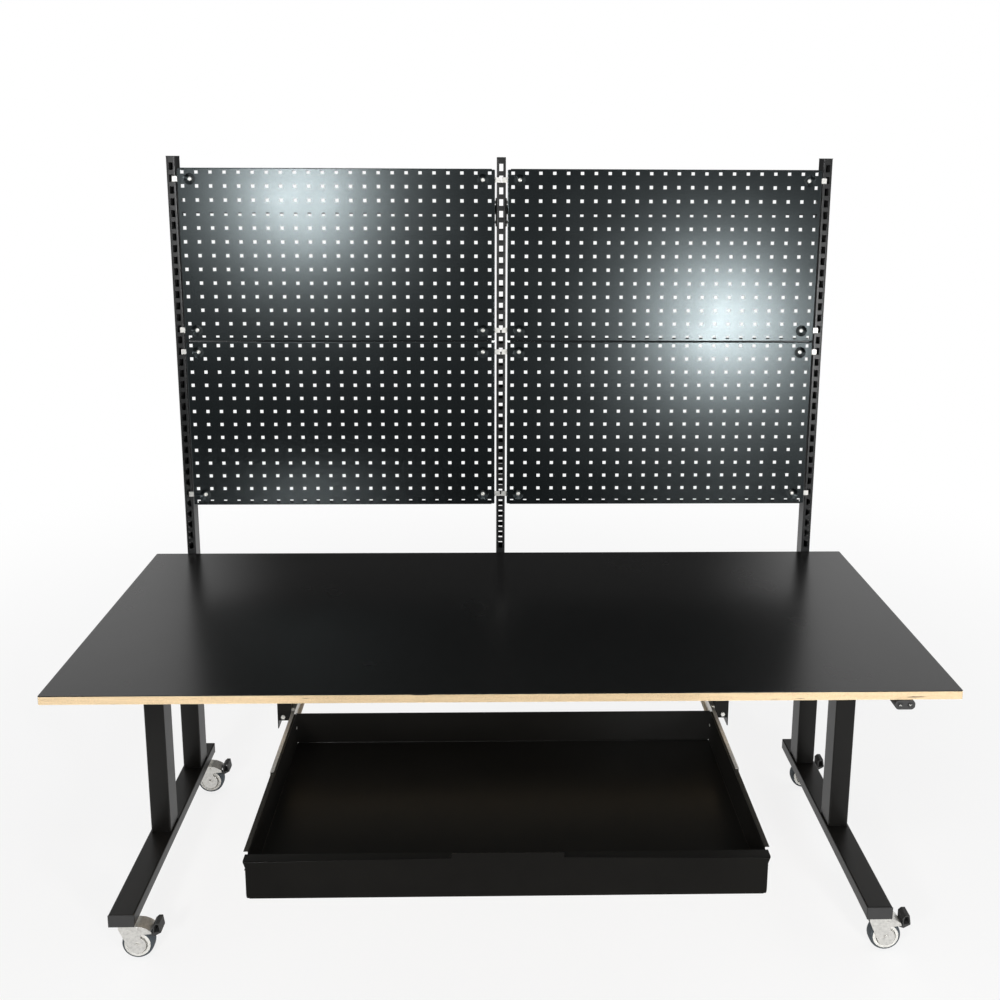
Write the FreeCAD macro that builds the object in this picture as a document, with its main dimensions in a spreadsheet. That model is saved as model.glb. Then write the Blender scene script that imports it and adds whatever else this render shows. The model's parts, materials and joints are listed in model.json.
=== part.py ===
import FreeCAD, Part
import os
import re
import Sketcher
from FreeCAD import Placement, Rotation, Vector

# Height-adjustable assembly table on four swivel casters, with a slotted upright frame that
# carries four tool panels and with one long drawer under the worktop, drawn out.
# Millimetres. X runs to the right, Y to the rear and Z up. The origin lies on the floor,
# midway across the table and midway between the drawn drawer's front and the rear bolts.

SIZES = [
    # worktop
    ("table_height", "700", "floor to the worktop's upper face, columns fully in"),
    ("worktop_width", "2000", "worktop, left to right"),
    ("worktop_depth", "800", "worktop, front to rear"),
    ("worktop_y", "195", "worktop's middle behind the origin"),
    ("core_thickness", "18", "plywood core"),
    ("laminate_thickness", "2", "laminate on top of the core"),
    ("worktop_corner", "2", "bevel of the worktop's upright corners"),
    # under-frame
    ("rail_width", "60", "frame rails, flat side"),
    ("rail_height", "30", "frame rails, upright side"),
    ("rail_wall", "2", "wall of rails and feet"),
    ("rail_inset", "46", "rail ends inside the worktop's ends"),
    ("rail_setback", "52", "front rail behind the worktop's front edge"),
    ("tube_corner", "2", "bevel of the square tubes' outer corners"),
    ("cap_thickness", "3", "flange of the plastic end plugs"),
    ("cap_insert", "12", "part of a plug inside its tube"),
    ("cap_fit", "0.2", "play between a plug and its tube"),
    # feet and columns
    ("leg_x", "875", "middle of each foot from the table's middle"),
    ("foot_front_inset", "44", "foot's front end behind the worktop's front edge"),
    ("foot_length", "700", "foot, front to rear, with its plugs"),
    ("foot_height", "30", "foot tube, upright side"),
    ("column_width", "50", "outer column tube, left to right"),
    ("column_depth", "60", "outer column tube, front to rear"),
    ("column_wall", "2", "wall of the column tubes"),
    ("column_setback", "295", "front column's front face behind the foot's front end"),
    ("column_pitch", "280", "front column to rear column"),
    ("column_stroke", "400", "travel of the table's height"),
    ("column_overlap", "105", "inner tube left in the outer one at full height"),
    ("glide", "0.3", "gap between bodies that move against each other"),
    # upright frame
    ("post_pitch", "900", "post to post"),
    ("post_width", "25", "post, left to right"),
    ("post_depth", "45", "post, front to rear"),
    ("post_wall", "2", "wall of the posts"),
    ("post_gap", "2", "posts' front face behind the worktop's rear edge"),
    ("post_rise", "1140", "post tops above the worktop"),
    ("post_drop", "120", "posts' lower ends below the worktop's upper face"),
    ("post_cap", "2", "flange of the posts' end plugs"),
    ("slot_height", "20", "slots in the posts"),
    ("slot_width", "11.5", "slots in the posts"),
    ("slot_pitch", "32", "slot to slot"),
    ("slot_count", "35", "slots in a post"),
    ("slot_first", "28", "middle of the first slot below the post's top"),
    ("bracket_width", "60", "plate that carries a post on the rear rail"),
    ("bracket_thickness", "5", "plate that carries a post"),
    ("bolt_high", "50", "upper post bolt above the post's lower end"),
    ("bolt_low", "15", "lower post bolt above the post's lower end"),
    ("bolt_neck", "8", "square neck of the post bolts"),
    ("neck_play", "0.5", "round the neck in its square hole"),
    ("bolt_head_radius", "7.5", "post bolts' heads and nuts over their corners"),
    ("bolt_head_height", "4", "post bolts"),
    ("nut_height", "8", "closed nuts of the post bolts"),
    # cross bars
    ("bar_height", "25", "cross bar tube"),
    ("bar_depth", "20", "cross bar tube"),
    ("bar_wall", "1.5", "cross bar tube"),
    ("bar_drop", "144", "middle of the cross bar below the post's top"),
    ("bar_plate", "3", "plate at each end of a cross bar"),
    ("bar_plate_height", "77", "plate at each end of a cross bar"),
    ("bar_plate_drop", "6.5", "plate's middle below the bar's middle"),
    ("bar_screw_pitch", "55", "screw to screw on an end plate"),
    ("bar_screw_head_radius", "5", "cross bar screws"),
    ("bar_screw_head_height", "3", "cross bar screws"),
    # tool panels
    ("panel_gap", "5", "panel's edge from the post's side"),
    ("panel_height", "478", "one panel"),
    ("panel_joint", "2", "between the upper and the lower panel"),
    ("panel_drop", "31.5", "upper panel's top below the post's top"),
    ("panel_standoff", "9", "panel's face in front of the posts' face"),
    ("panel_sheet", "1.5", "panel sheet"),
    ("panel_flange", "15", "depth of the folded rim with the sheet"),
    ("panel_lip", "7.5", "rim's upper and lower edges folded in again, from the panel's edge"),
    ("panel_bend", "1.5", "bevel along the fold of the rim"),
    ("dimple_radius", "15.5", "mouth of the screw dimples"),
    ("dimple_floor_radius", "6.5", "floor of the screw dimples"),
    ("dimple_depth", "5.5", "screw dimples"),
    ("dimple_step", "0.5", "upright part of the dimples' side at their floor"),
    ("dimple_side", "33.5", "dimple's middle from the panel's side"),
    ("dimple_end", "30", "dimple's middle from the panel's upper or lower edge"),
    # hook brackets and panel screws
    ("hook_height", "14.5", "hook bracket's strip"),
    ("hook_sheet", "2", "hook bracket's sheet"),
    ("hook_inner", "2", "tongue from the post's middle"),
    ("hook_overlap", "8", "strip beyond the dimple's middle"),
    ("tongue_height", "10", "tongue through the post's slot"),
    ("hook_lip", "6", "lip that hangs behind the post's wall"),
    ("notch_clearance", "0.5", "round the strip in the panel's rim"),
    ("panel_screw_head_radius", "5.75", "panel screws"),
    ("panel_screw_head_height", "3.5", "panel screws"),
    # drawer
    ("drawer_width", "914", "tray over its side walls"),
    ("drawer_depth", "482", "tray with its front"),
    ("drawer_height", "72.5", "tray's side walls"),
    ("drawer_sheet", "1.2", "tray and front"),
    ("drawer_top_gap", "16", "tray's top below the frame"),
    ("drawer_overhang", "27", "front of the shut drawer in front of its hangers"),
    ("drawer_travel", "466", "travel of the drawer"),
    ("lip_flare", "4", "front's upper ends beyond the tray, each side"),
    ("lip_height", "13", "height of that flare"),
    ("lip_depth", "19", "front's upper edge, folded back"),
    ("front_return", "18", "front's side flanges inside the tray"),
    ("front_chamfer", "6", "front's lower corners"),
    ("tab_width", "197", "raised middle of the front's upper edge"),
    ("tab_rise", "12", "raised middle of the front's upper edge"),
    ("tab_corner", "2", "raised middle's corner radius"),
    ("rivet_drop", "31", "rivets below the tray's top"),
    ("rivet_inset", "9", "rivets from the tray's corners"),
    ("rivet_head_radius", "3.2", "rivets"),
    ("rivet_head_height", "1", "rivets"),
    # slides and hangers
    ("slide_length", "450", "each member of the slides"),
    ("slide_height", "45", "outer member"),
    ("slide_thickness", "12.7", "slide between tray and hanger"),
    ("slide_sheet", "1.2", "slide members"),
    ("slide_gap", "0.5", "between two slide members"),
    ("slide_drop", "35", "slide's middle below the frame"),
    ("slide_lip", "1.8", "outer member's free edge from the inner member"),
    ("slide_middle_lip", "2.5", "middle member's free edge from the inner member"),
    ("hanger_width", "31.3", "hanger, left to right"),
    ("hanger_sheet", "2", "hanger"),
    ("hanger_inner_drop", "41", "hanger's inner wall below the frame"),
    ("hanger_outer_drop", "60", "hanger's outer wall below the frame"),
    ("hanger_clearance", "2", "hanger's rear part behind the front rail"),
    ("hanger_screw_drop", "32", "hanger screws below the frame"),
    ("hanger_screw_across", "18.8", "front screw from the hanger's inner side"),
    ("hanger_screw_setback", "28", "side screw behind the hanger's front"),
    ("hanger_screw_head_radius", "5", "hanger screws"),
    ("hanger_screw_head_height", "2.5", "hanger screws"),
    # handset and control box
    ("handset_x", "873", "handset's middle from the table's middle"),
    ("handset_width", "44", "handset"),
    ("handset_height", "21.5", "handset"),
    ("handset_length", "55", "handset, front to rear"),
    ("handset_overhang", "4", "handset's face in front of the worktop's edge"),
    ("handset_corner", "9", "handset's long corners"),
    ("button_pitch", "22", "button to button"),
    ("button_radius", "5.5", "buttons"),
    ("button_length", "5.2", "buttons, front to rear"),
    ("button_proud", "1.2", "buttons in front of the handset's face"),
    ("button_well", "6", "depth of the buttons' wells"),
    ("control_width", "280", "control box under the worktop"),
    ("control_depth", "130", "control box"),
    ("control_height", "40", "control box"),
    ("control_corner", "4", "control box"),
    ("control_setback", "550", "control box's front behind the worktop's front edge"),
    # casters, with the fork's shape given from the wheel's axle
    ("caster_height", "100", "floor to the foot's underside"),
    ("caster_inset", "35", "swivel axis from the foot's end"),
    ("wheel_radius", "37.5", "tyre"),
    ("wheel_trail", "26", "axle beside the swivel axis"),
    ("tyre_half_width", "14", "half the tyre's width"),
    ("tread_bevel", "6.5", "tyre's bevel beside its tread"),
    ("rim_radius", "30.5", "tyre's seat on the rim"),
    ("rim_half_width", "15", "half the rim's width"),
    ("rim_wall", "7", "rim's ring beside the cheeks"),
    ("rim_recess", "2", "ring's side in front of the hub inside it"),
    ("axle_radius", "4", "axle bolt"),
    ("axle_head_radius", "6.5", "axle bolt's head and nut over their corners"),
    ("axle_head_height", "2.5", "axle bolt's head and nut"),
    ("running_fit", "0.1", "radial play of what turns on a pin"),
    ("fork_half_width", "18", "half the fork over its cheeks"),
    ("fork_sheet", "2.5", "fork"),
    ("fork_crown_radius", "49.5", "fork's crown round the axle"),
    ("cheek_radius", "21.3", "cheeks round the axle"),
    ("fork_back", "41", "fork's straight end from the axle"),
    ("fork_end", "33", "crown's open end from the axle"),
    ("horn_low", "30", "lower edge of the cheeks' horn above the axle"),
    ("horn_reach", "2", "cheeks' horn beyond the crown's open end"),
    ("cup_radius", "18", "fork's bearing cup"),
    ("swivel_radius", "20", "swivel housing"),
    ("swivel_height", "6", "swivel housing under its plate"),
    ("swivel_plate", "3", "mounting plate"),
    ("swivel_plate_width", "56", "mounting plate, square"),
    ("king_pin_radius", "5", "swivel's pin"),
    ("king_head_radius", "9", "swivel pin's nut over its corners"),
    ("king_head_height", "2.5", "swivel pin's nut"),
    ("pivot_x", "3.5", "brake pedal's pin beside the axle"),
    ("pivot_z", "41", "brake pedal's pin above the axle"),
    ("pivot_radius", "2.2", "brake pedal's pin"),
    ("pivot_head_radius", "3.5", "brake pedal's pin over its heads' corners"),
    ("pivot_head_height", "1.4", "brake pedal's pin"),
    ("arm_radius", "4.8", "pedal's arms round their pin"),
    ("arm_sheet", "2.5", "pedal's arms"),
    ("arm_bend_x", "18", "first bend of the arms' lower edge beside the axle"),
    ("arm_bend_z", "34", "first bend of the arms' lower edge above the axle"),
    ("arm_neck_x", "31", "second bend of the arms' lower edge beside the axle"),
    ("arm_neck_z", "25.5", "second bend of the arms' lower edge above the axle"),
    ("arm_lean", "2", "upper bends of the arms beside the lower ones"),
    ("arm_rise", "7", "upper bends of the arms above the lower ones"),
    ("pedal_root", "37.5", "pedal's loop beside the axle"),
    ("pedal_low", "22", "pedal's lower edge above the axle"),
    ("pedal_reach", "56.5", "pedal's tip beside the axle"),
    ("pedal_top", "54.5", "pedal's upper edge above the axle"),
    ("pedal_crest", "9", "level part of the pedal's upper edge"),
    ("pedal_fall", "6.5", "pedal's upper edge, lower beside the fork"),
    ("tip_low", "31", "tip's lower corner above the axle"),
    ("tip_height", "4", "upright edge of the tip"),
    ("tip_lean", "3", "upper corner behind the tip"),
    ("loop_wall", "3", "pedal's loop"),
]

SIZE = {alias: amount for alias, amount, note in SIZES}

# Places that several pieces share, each worked out from the sizes above.
PLACES = {
    "top_front": "worktop_y - worktop_depth / 2",
    "top_back": "worktop_y + worktop_depth / 2",
    "core_bottom": "table_height - laminate_thickness - core_thickness",
    "frame_bottom": "core_bottom - rail_height",
    "rail_front": "top_front + rail_setback",
    "rail_length": "worktop_width - 2 * rail_inset",
    "foot_top": "caster_height + foot_height",
    "foot_front": "top_front + foot_front_inset",
    "foot_y": "foot_front + foot_length / 2",
    "column_front_y": "foot_front + column_setback + column_depth / 2",
    "column_rear_y": "column_front_y + column_pitch",
    "column_length": "frame_bottom - glide - foot_top",
    "inner_length": "column_stroke + column_overlap",
    "inner_width": "column_width - 2 * column_wall - 2 * glide",
    "inner_depth": "column_depth - 2 * column_wall - 2 * glide",
    "post_front": "top_back + post_gap",
    "post_y": "post_front + post_depth / 2",
    "post_top": "table_height + post_rise",
    "post_bottom": "table_height - post_drop",
    "post_tube_top": "post_top - post_cap",
    "first_slot": "post_top - slot_first",
    "rear_rail_back": "post_front - bracket_thickness",
    "rear_rail_front": "rear_rail_back - rail_width",
    "bar_z": "post_top - bar_drop",
    "bar_y": "post_front + post_wall + (post_depth - 2 * post_wall) / 2",
    "plate_z": "bar_z - bar_plate_drop",
    "panel_width": "post_pitch - post_width - 2 * panel_gap",
    "panel_front": "post_front - panel_standoff",
    "upper_z": "post_top - panel_drop - panel_height / 2",
    "lower_z": "upper_z - panel_height - panel_joint",
    "dimple_x": "panel_width / 2 - dimple_side",
    "dimple_z": "panel_height / 2 - dimple_end",
    "dimple_to_post": "post_width / 2 + panel_gap + dimple_side",
    "hanger_front": "rail_front",
    "drawer_front_y": "hanger_front - drawer_overhang - drawer_travel",
    "drawer_top": "frame_bottom - drawer_top_gap",
    "drawer_bottom": "drawer_top - drawer_height",
    "slide_z": "frame_bottom - slide_drop",
    "hanger_inner": "drawer_width / 2 + slide_thickness",
    "hanger_outer": "hanger_inner + hanger_width",
    "hanger_screw_z": "frame_bottom - hanger_screw_drop",
    "handset_front": "top_front - handset_overhang",
    "handset_z": "core_bottom - handset_height / 2",
    "caster_front_y": "foot_front + caster_inset",
    "caster_rear_y": "foot_front + foot_length - caster_inset",
    "crown_bottom": "fork_crown_radius - fork_sheet",
    "swivel_bottom": "caster_height - swivel_plate - swivel_height",
    "cheek_inner": "fork_half_width - fork_sheet",
    "arm_outer": "cheek_inner - glide",
}

# Sides of the outlines that stand for round ones, and the turns from +X, in degrees, at which
# the fork's round edges begin and end.
DIMPLE_SIDES = 12
WHEEL_SIDES = 24
HOUSING_SIDES = 16
KEY_SIDES = 16
CHEEK_EDGE = (200, 425)
CHEEK_FLATS = 10
CROWN_EDGE = (60, 90)
CROWN_FLATS = 2

WORD = re.compile(r"[a-z][a-z_]*")

doc = FreeCAD.newDocument("assembly_table")
sheet = doc.addObject("Spreadsheet::Sheet", "sizes")
nodes = []


def fill_sheet():
    """Writes every driving size into the sheet under its alias."""
    for row, (alias, amount, note) in enumerate(SIZES, start=1):
        sheet.set("A%d" % row, note)
        sheet.set("B%d" % row, amount)
        sheet.setAlias("B%d" % row, alias)
    doc.recompute()


def bound(text):
    """Turns a size in plain names into an expression that reads the sheet."""
    def swap(match):
        word = match.group(0)
        if word in PLACES:
            return "(" + bound(PLACES[word]) + ")"
        if word in SIZE:
            return "sizes." + word
        return word
    return WORD.sub(swap, text)


def amount(text):
    """The number that a size in plain names comes to, for a first drawing of a sketch."""
    def swap(match):
        word = match.group(0)
        if word in PLACES:
            return "(" + numbers(PLACES[word]) + ")"
        return SIZE.get(word, word)

    def numbers(part):
        return WORD.sub(swap, part)
    return FreeCAD.Units.Quantity(numbers(text)).Value


def tie(thing, **sizes):
    """Binds properties of an object to sizes."""
    for name, text in sizes.items():
        thing.setExpression(name, bound(text))
    return thing


def put(thing, x="0", y="0", z="0"):
    """Binds an object's place to sizes."""
    thing.setExpression("Placement.Base.x", bound(x))
    thing.setExpression("Placement.Base.y", bound(y))
    thing.setExpression("Placement.Base.z", bound(z))
    return thing


def as_node(thing, label):
    """Names a finished sub-part and keeps it for the export."""
    thing.Label = label
    nodes.append(thing)
    return thing


def origin_item(body, role):
    """A plane or axis of a body's own origin."""
    return next(item for item in body.Origin.OriginFeatures if item.Role == role)


def new_body(name, x="0", y="0", z="0"):
    """An empty body at its place."""
    return put(doc.addObject("PartDesign::Body", name), x, y, z)


def new_sketch(body, plane, offset="0"):
    """A sketch on one of the body's own planes, moved along the plane's normal."""
    sketch = body.newObject("Sketcher::SketchObject", body.Name + "_sketch")
    sketch.AttachmentSupport = (origin_item(body, plane), [""])
    sketch.MapMode = "FlatFace"
    sketch.setExpression("AttachmentOffset.Base.z", bound(offset))
    return sketch


def fix_point(sketch, line, point, x, y):
    """Dimensions one point of a sketch from the sketch's origin."""
    for kind, text in (("DistanceX", x), ("DistanceY", y)):
        rule = sketch.addConstraint(Sketcher.Constraint(kind, -1, 1, line, point, amount(text)))
        sketch.setExpression("Constraints[%d]" % rule, bound(text))


def polygon(sketch, corners):
    """A closed outline of straight lines, each corner dimensioned."""
    spots = [Vector(amount(x), amount(y), 0) for x, y in corners]
    first = sketch.GeometryCount
    count = len(corners)
    for index in range(count):
        line = Part.LineSegment(spots[index], spots[(index + 1) % count])
        sketch.addGeometry(line, False)
    for index in range(count):
        following = first + (index + 1) % count
        sketch.addConstraint(Sketcher.Constraint("Coincident", first + index, 2, following, 1))
    for index, (x, y) in enumerate(corners):
        fix_point(sketch, first + index, 1, x, y)


def rectangle(sketch, left, right, low, high):
    """A rectangle between four dimensioned sides."""
    polygon(sketch, [(left, low), (right, low), (right, high), (left, high)])


def centred(sketch, width, height):
    """A rectangle round the sketch's origin."""
    rectangle(sketch, "-(%s) / 2" % width, "(%s) / 2" % width,
              "-(%s) / 2" % height, "(%s) / 2" % height)


def circle(sketch, x, y, radius):
    """A dimensioned circle."""
    spot = Vector(amount(x), amount(y), 0)
    ring = sketch.addGeometry(Part.Circle(spot, Vector(0, 0, 1), amount(radius)), False)
    rule = sketch.addConstraint(Sketcher.Constraint("Radius", ring, amount(radius)))
    sketch.setExpression("Constraints[%d]" % rule, bound(radius))
    fix_point(sketch, ring, 3, x, y)


def pad(body, sketch, length, both_ways=False):
    """Material along the sketch's normal."""
    feature = body.newObject("PartDesign::Pad", body.Name + "_pad")
    feature.Profile = sketch
    feature.SideType = "Symmetric" if both_ways else "One side"
    return tie(feature, Length=length)


def pocket(body, sketch, length=None, both_ways=False):
    """A cut against the sketch's normal or to both sides of it: right through with no length."""
    feature = body.newObject("PartDesign::Pocket", body.Name + "_pocket")
    feature.Profile = sketch
    if length is None:
        feature.SideType = "Symmetric"
        feature.Type = "ThroughAll"
        return feature
    feature.SideType = "Symmetric" if both_ways else "One side"
    return tie(feature, Length=length)


def pocket_forward(body, sketch, length):
    """A cut along the sketch's normal."""
    feature = pocket(body, sketch, length)
    feature.Reversed = True
    return feature


def edges_of(body, wanted):
    """The edges of the body's last feature for which wanted(edge) is true."""
    doc.recompute()
    last = body.Tip
    names = ["Edge%d" % (index + 1) for index, edge in enumerate(last.Shape.Edges) if wanted(edge)]
    return last, names


def rounded(body, radius, wanted):
    """Rounds the body's edges for which wanted(edge) is true."""
    base = edges_of(body, wanted)
    feature = body.newObject("PartDesign::Fillet", body.Name + "_rounded")
    feature.Base = base
    return tie(feature, Radius=radius)


def bevelled(body, size, wanted):
    """Bevels the body's edges for which wanted(edge) is true."""
    base = edges_of(body, wanted)
    feature = body.newObject("PartDesign::Chamfer", body.Name + "_bevelled")
    feature.Base = base
    return tie(feature, Size=size)


def sloped(body, first, second, wanted):
    """Bevels edges by two unequal sizes, one on each of the faces that meet in them."""
    feature = bevelled(body, first, wanted)
    feature.ChamferType = "Two distances"
    return tie(feature, Size2=second)


def runs_along(edge, direction):
    """True for a straight edge along one axis of its body."""
    if not isinstance(edge.Curve, Part.Line):
        return False
    return abs(edge.Curve.Direction.dot(direction)) > 0.999


def outer_edges(width, height, direction):
    """Picks the long edges at the outer corners of a tube about its own middle."""
    across, up = [axis for axis in (Vector(1, 0, 0), Vector(0, 1, 0), Vector(0, 0, 1))
                  if axis != direction]
    half_width = amount(width) / 2
    half_height = amount(height) / 2

    def wanted(edge):
        middle = edge.CenterOfMass
        on_side = abs(abs(middle.dot(across)) - half_width) < 0.01
        on_top = abs(abs(middle.dot(up)) - half_height) < 0.01
        return runs_along(edge, direction) and on_side and on_top
    return wanted


def tube(name, plane, width, height, wall, length, x="0", y="0", z="0"):
    """A square tube along the normal of a plane, centred on its place."""
    body = new_body(name, x, y, z)
    sketch = new_sketch(body, plane)
    centred(sketch, width, height)
    centred(sketch, "%s - 2 * (%s)" % (width, wall), "%s - 2 * (%s)" % (height, wall))
    pad(body, sketch, length, both_ways=True)
    direction = {"XY_Plane": Vector(0, 0, 1), "XZ_Plane": Vector(0, 1, 0),
                 "YZ_Plane": Vector(1, 0, 0)}[plane]
    bevelled(body, "tube_corner", outer_edges(width, height, direction))
    return body


def plug(name, plane, width, height, wall, flange):
    """An end plug for a tube: its flange lies outside, along the plane's normal."""
    body = new_body(name)
    face = new_sketch(body, plane)
    centred(face, width, height)
    pad(body, face, flange)
    stem = new_sketch(body, plane, "-cap_insert")
    inside = "%s - 2 * (%s) - 2 * cap_fit"
    centred(stem, inside % (width, wall), inside % (height, wall))
    pad(body, stem, "cap_insert")
    return body


def arc_corners(radius, first, last, flats, x="0", z="0"):
    """Corners of an arc round a point, laid out as a number of flats between two turns."""
    turns = [first + (last - first) * index / flats for index in range(flats + 1)]
    return [("%s + %s * cos(%g)" % (x, radius, turn), "%s + %s * sin(%g)" % (z, radius, turn))
            for turn in turns]


def ring_of_sides(sketch, radius, sides, x="0", z="0"):
    """A regular outline with a number of straight sides round a point."""
    polygon(sketch, arc_corners(radius, 0, 360, sides, x, z)[:-1])


def hexagon(sketch, radius):
    """A six-sided outline round the sketch's origin."""
    ring_of_sides(sketch, radius, 6)


def screw_head(name, radius, height):
    """A screw's head: it stands forward of its seat, which lies at the origin."""
    body = new_body(name)
    sketch = new_sketch(body, "XZ_Plane")
    hexagon(sketch, radius)
    pad(body, sketch, height)
    return body


def copies(label, source, places, rotation=Rotation()):
    """A copy of the source at each place, to be grouped into a node."""
    links = []
    for number, (x, y, z) in enumerate(places, start=1):
        link = doc.addObject("App::Link", "%s_%d" % (label, number))
        link.LinkedObject = source
        link.Placement = Placement(Vector(), rotation)
        links.append(put(link, x, y, z))
    return links


def group(label, members):
    """Puts separate solids into one node."""
    compound = doc.addObject("Part::Compound", label)
    compound.Links = members
    return as_node(compound, label)


def mirrored(source, name, normal=Vector(1, 0, 0)):
    """The same piece for the other side of the table."""
    twin = doc.addObject("Part::Mirroring", name)
    twin.Source = source
    twin.Normal = normal
    return twin


def make_worktop():
    """Plywood core with a thin laminate on its upper face."""
    for label, thickness, z in (("worktop_core", "core_thickness", "core_bottom"),
                                ("worktop_laminate", "laminate_thickness",
                                 "table_height - laminate_thickness")):
        body = new_body(label, "0", "worktop_y", z)
        sketch = new_sketch(body, "XY_Plane")
        centred(sketch, "worktop_width", "worktop_depth")
        pad(body, sketch, thickness)
        bevelled(body, "worktop_corner", lambda edge: runs_along(edge, Vector(0, 0, 1)))
        as_node(body, label)


def make_rails():
    """Front, rear and side rails under the worktop, with plugs in the open ends."""
    rail_z = "core_bottom - rail_height / 2"
    cut_length = "rail_length - 2 * cap_thickness"
    rows = {"front": "rail_front + rail_width / 2", "rear": "rear_rail_back - rail_width / 2"}
    for row, y in rows.items():
        label = "frame_%s_rail" % row
        rail = tube(label, "YZ_Plane", "rail_width", "rail_height", "rail_wall", cut_length,
                    "0", y, rail_z)
        as_node(rail, label)
    side_length = "rear_rail_front - rail_front - rail_width"
    side = tube("side_rail", "XZ_Plane", "rail_width", "rail_height", "rail_wall", side_length)
    side_y = "rail_front + rail_width + (%s) / 2" % side_length
    places = [("-leg_x", side_y, rail_z), ("leg_x", side_y, rail_z)]
    group("frame_side_rails", copies("side_rail_copy", side, places))
    right_plug = plug("rail_plug", "YZ_Plane", "rail_width", "rail_height", "rail_wall",
                      "cap_thickness")
    left_plug = mirrored(right_plug, "rail_plug_left")
    end = "rail_length / 2 - cap_thickness"
    caps = copies("rail_cap_right", right_plug, [(end, y, rail_z) for y in rows.values()])
    caps += copies("rail_cap_left", left_plug, [("-(%s)" % end, y, rail_z) for y in rows.values()])
    group("rail_caps", caps)


def make_columns():
    """Telescopic columns: the outer tubes stand on the feet, the inner ones hang in them."""
    inner = tube("inner_column", "XY_Plane", "inner_width", "inner_depth", "column_wall",
                 "inner_length")
    inner_z = "frame_bottom - inner_length / 2"
    outer = tube("outer_column", "XY_Plane", "column_width", "column_depth", "column_wall",
                 "column_length")
    outer_z = "foot_top + column_length / 2"
    rows = ("column_front_y", "column_rear_y")
    sides = {"left": "-leg_x", "right": "leg_x"}
    places = [(x, y, inner_z) for x in sides.values() for y in rows]
    group("column_inner_tubes", copies("inner_column_copy", inner, places))
    for side, x in sides.items():
        label = "column_outer_" + side
        group(label, copies(label + "_copy", outer, [(x, y, outer_z) for y in rows]))


def make_feet():
    """Foot tubes that lie front to rear on the casters, with plugs in both ends."""
    foot_z = "caster_height + foot_height / 2"
    cut_length = "foot_length - 2 * cap_thickness"
    front_plug = plug("foot_plug", "XZ_Plane", "rail_width", "foot_height", "rail_wall",
                      "cap_thickness")
    rear_plug = mirrored(front_plug, "foot_plug_rear", Vector(0, 1, 0))
    for side, x in (("left", "-leg_x"), ("right", "leg_x")):
        label = "foot_" + side
        foot = tube(label, "XZ_Plane", "rail_width", "foot_height", "rail_wall", cut_length,
                    x, "foot_y", foot_z)
        as_node(foot, label)
        front = copies("foot_cap_front_" + side, front_plug,
                       [(x, "foot_front + cap_thickness", foot_z)])
        rear = copies("foot_cap_rear_" + side, rear_plug,
                      [(x, "foot_front + foot_length - cap_thickness", foot_z)])
        group("foot_caps_" + side, front + rear)


def square_hole(sketch, z):
    """A square hole for a bolt's neck."""
    half = "bolt_neck / 2 + neck_play"
    rectangle(sketch, "-(%s)" % half, half, "%s - (%s)" % (z, half), "%s + %s" % (z, half))


def make_posts():
    """Three alike slotted posts with square holes for their bolts."""
    post = new_body("post")
    section = new_sketch(post, "XY_Plane")
    centred(section, "post_width", "post_depth")
    centred(section, "post_width - 2 * post_wall", "post_depth - 2 * post_wall")
    pad(post, section, "post_tube_top - post_bottom")
    bevelled(post, "tube_corner / 2", outer_edges("post_width", "post_depth", Vector(0, 0, 1)))
    slot = new_sketch(post, "XZ_Plane")
    middle = "first_slot - post_bottom"
    rectangle(slot, "-slot_width / 2", "slot_width / 2",
              "%s - slot_height / 2" % middle, "%s + slot_height / 2" % middle)
    first = pocket(post, slot)
    row = post.newObject("PartDesign::LinearPattern", "post_slots")
    row.Originals = [first]
    row.Direction = (origin_item(post, "Z_Axis"), [""])
    row.Reversed = True
    row.Mode = "Spacing"
    tie(row, Offset="slot_pitch", Occurrences="slot_count")
    post.Tip = row
    holes = new_sketch(post, "XZ_Plane")
    for height in ("bolt_high", "bolt_low"):
        square_hole(holes, height)
    pocket(post, holes)
    for side, x in (("left", "-post_pitch"), ("centre", "0"), ("right", "post_pitch")):
        label = "post_" + side
        group(label, copies(label + "_copy", post, [(x, "post_y", "post_bottom")]))


def make_post_fittings():
    """Plugs on the posts, plates that carry them on the rear rail, and the bolts through both."""
    lines = ("-post_pitch", "0", "post_pitch")
    cap = plug("post_plug", "XY_Plane", "post_width", "post_depth", "post_wall", "post_cap")
    tops = [(x, "post_y", "post_tube_top") for x in lines]
    group("post_caps", copies("post_cap_copy", cap, tops))
    plate = new_body("post_plate")
    outline = new_sketch(plate, "XZ_Plane")
    rectangle(outline, "-bracket_width / 2", "bracket_width / 2", "0", "core_bottom - post_bottom")
    for height in ("bolt_high", "bolt_low"):
        square_hole(outline, height)
    pad(plate, outline, "bracket_thickness")
    places = [(x, "post_front", "post_bottom") for x in lines]
    group("post_brackets", copies("post_bracket_copy", plate, places))
    bolt = new_body("post_bolt")
    neck = new_sketch(bolt, "XZ_Plane")
    centred(neck, "bolt_neck", "bolt_neck")
    pad(bolt, neck, "post_depth + bracket_thickness")
    head = new_sketch(bolt, "XZ_Plane", "-bolt_head_height")
    hexagon(head, "bolt_head_radius")
    pad(bolt, head, "bolt_head_height")
    nut = screw_head("post_nut", "bolt_head_radius", "nut_height")
    heights = ("post_bottom + bolt_high", "post_bottom + bolt_low")
    bolts = copies("post_bolt_copy", bolt,
                   [(x, "post_front + post_depth", z) for x in lines for z in heights])
    nuts = copies("post_nut_copy", nut,
                  [(x, "rear_rail_back", z) for x in lines for z in heights])
    group("post_bolts", bolts + nuts)


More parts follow.
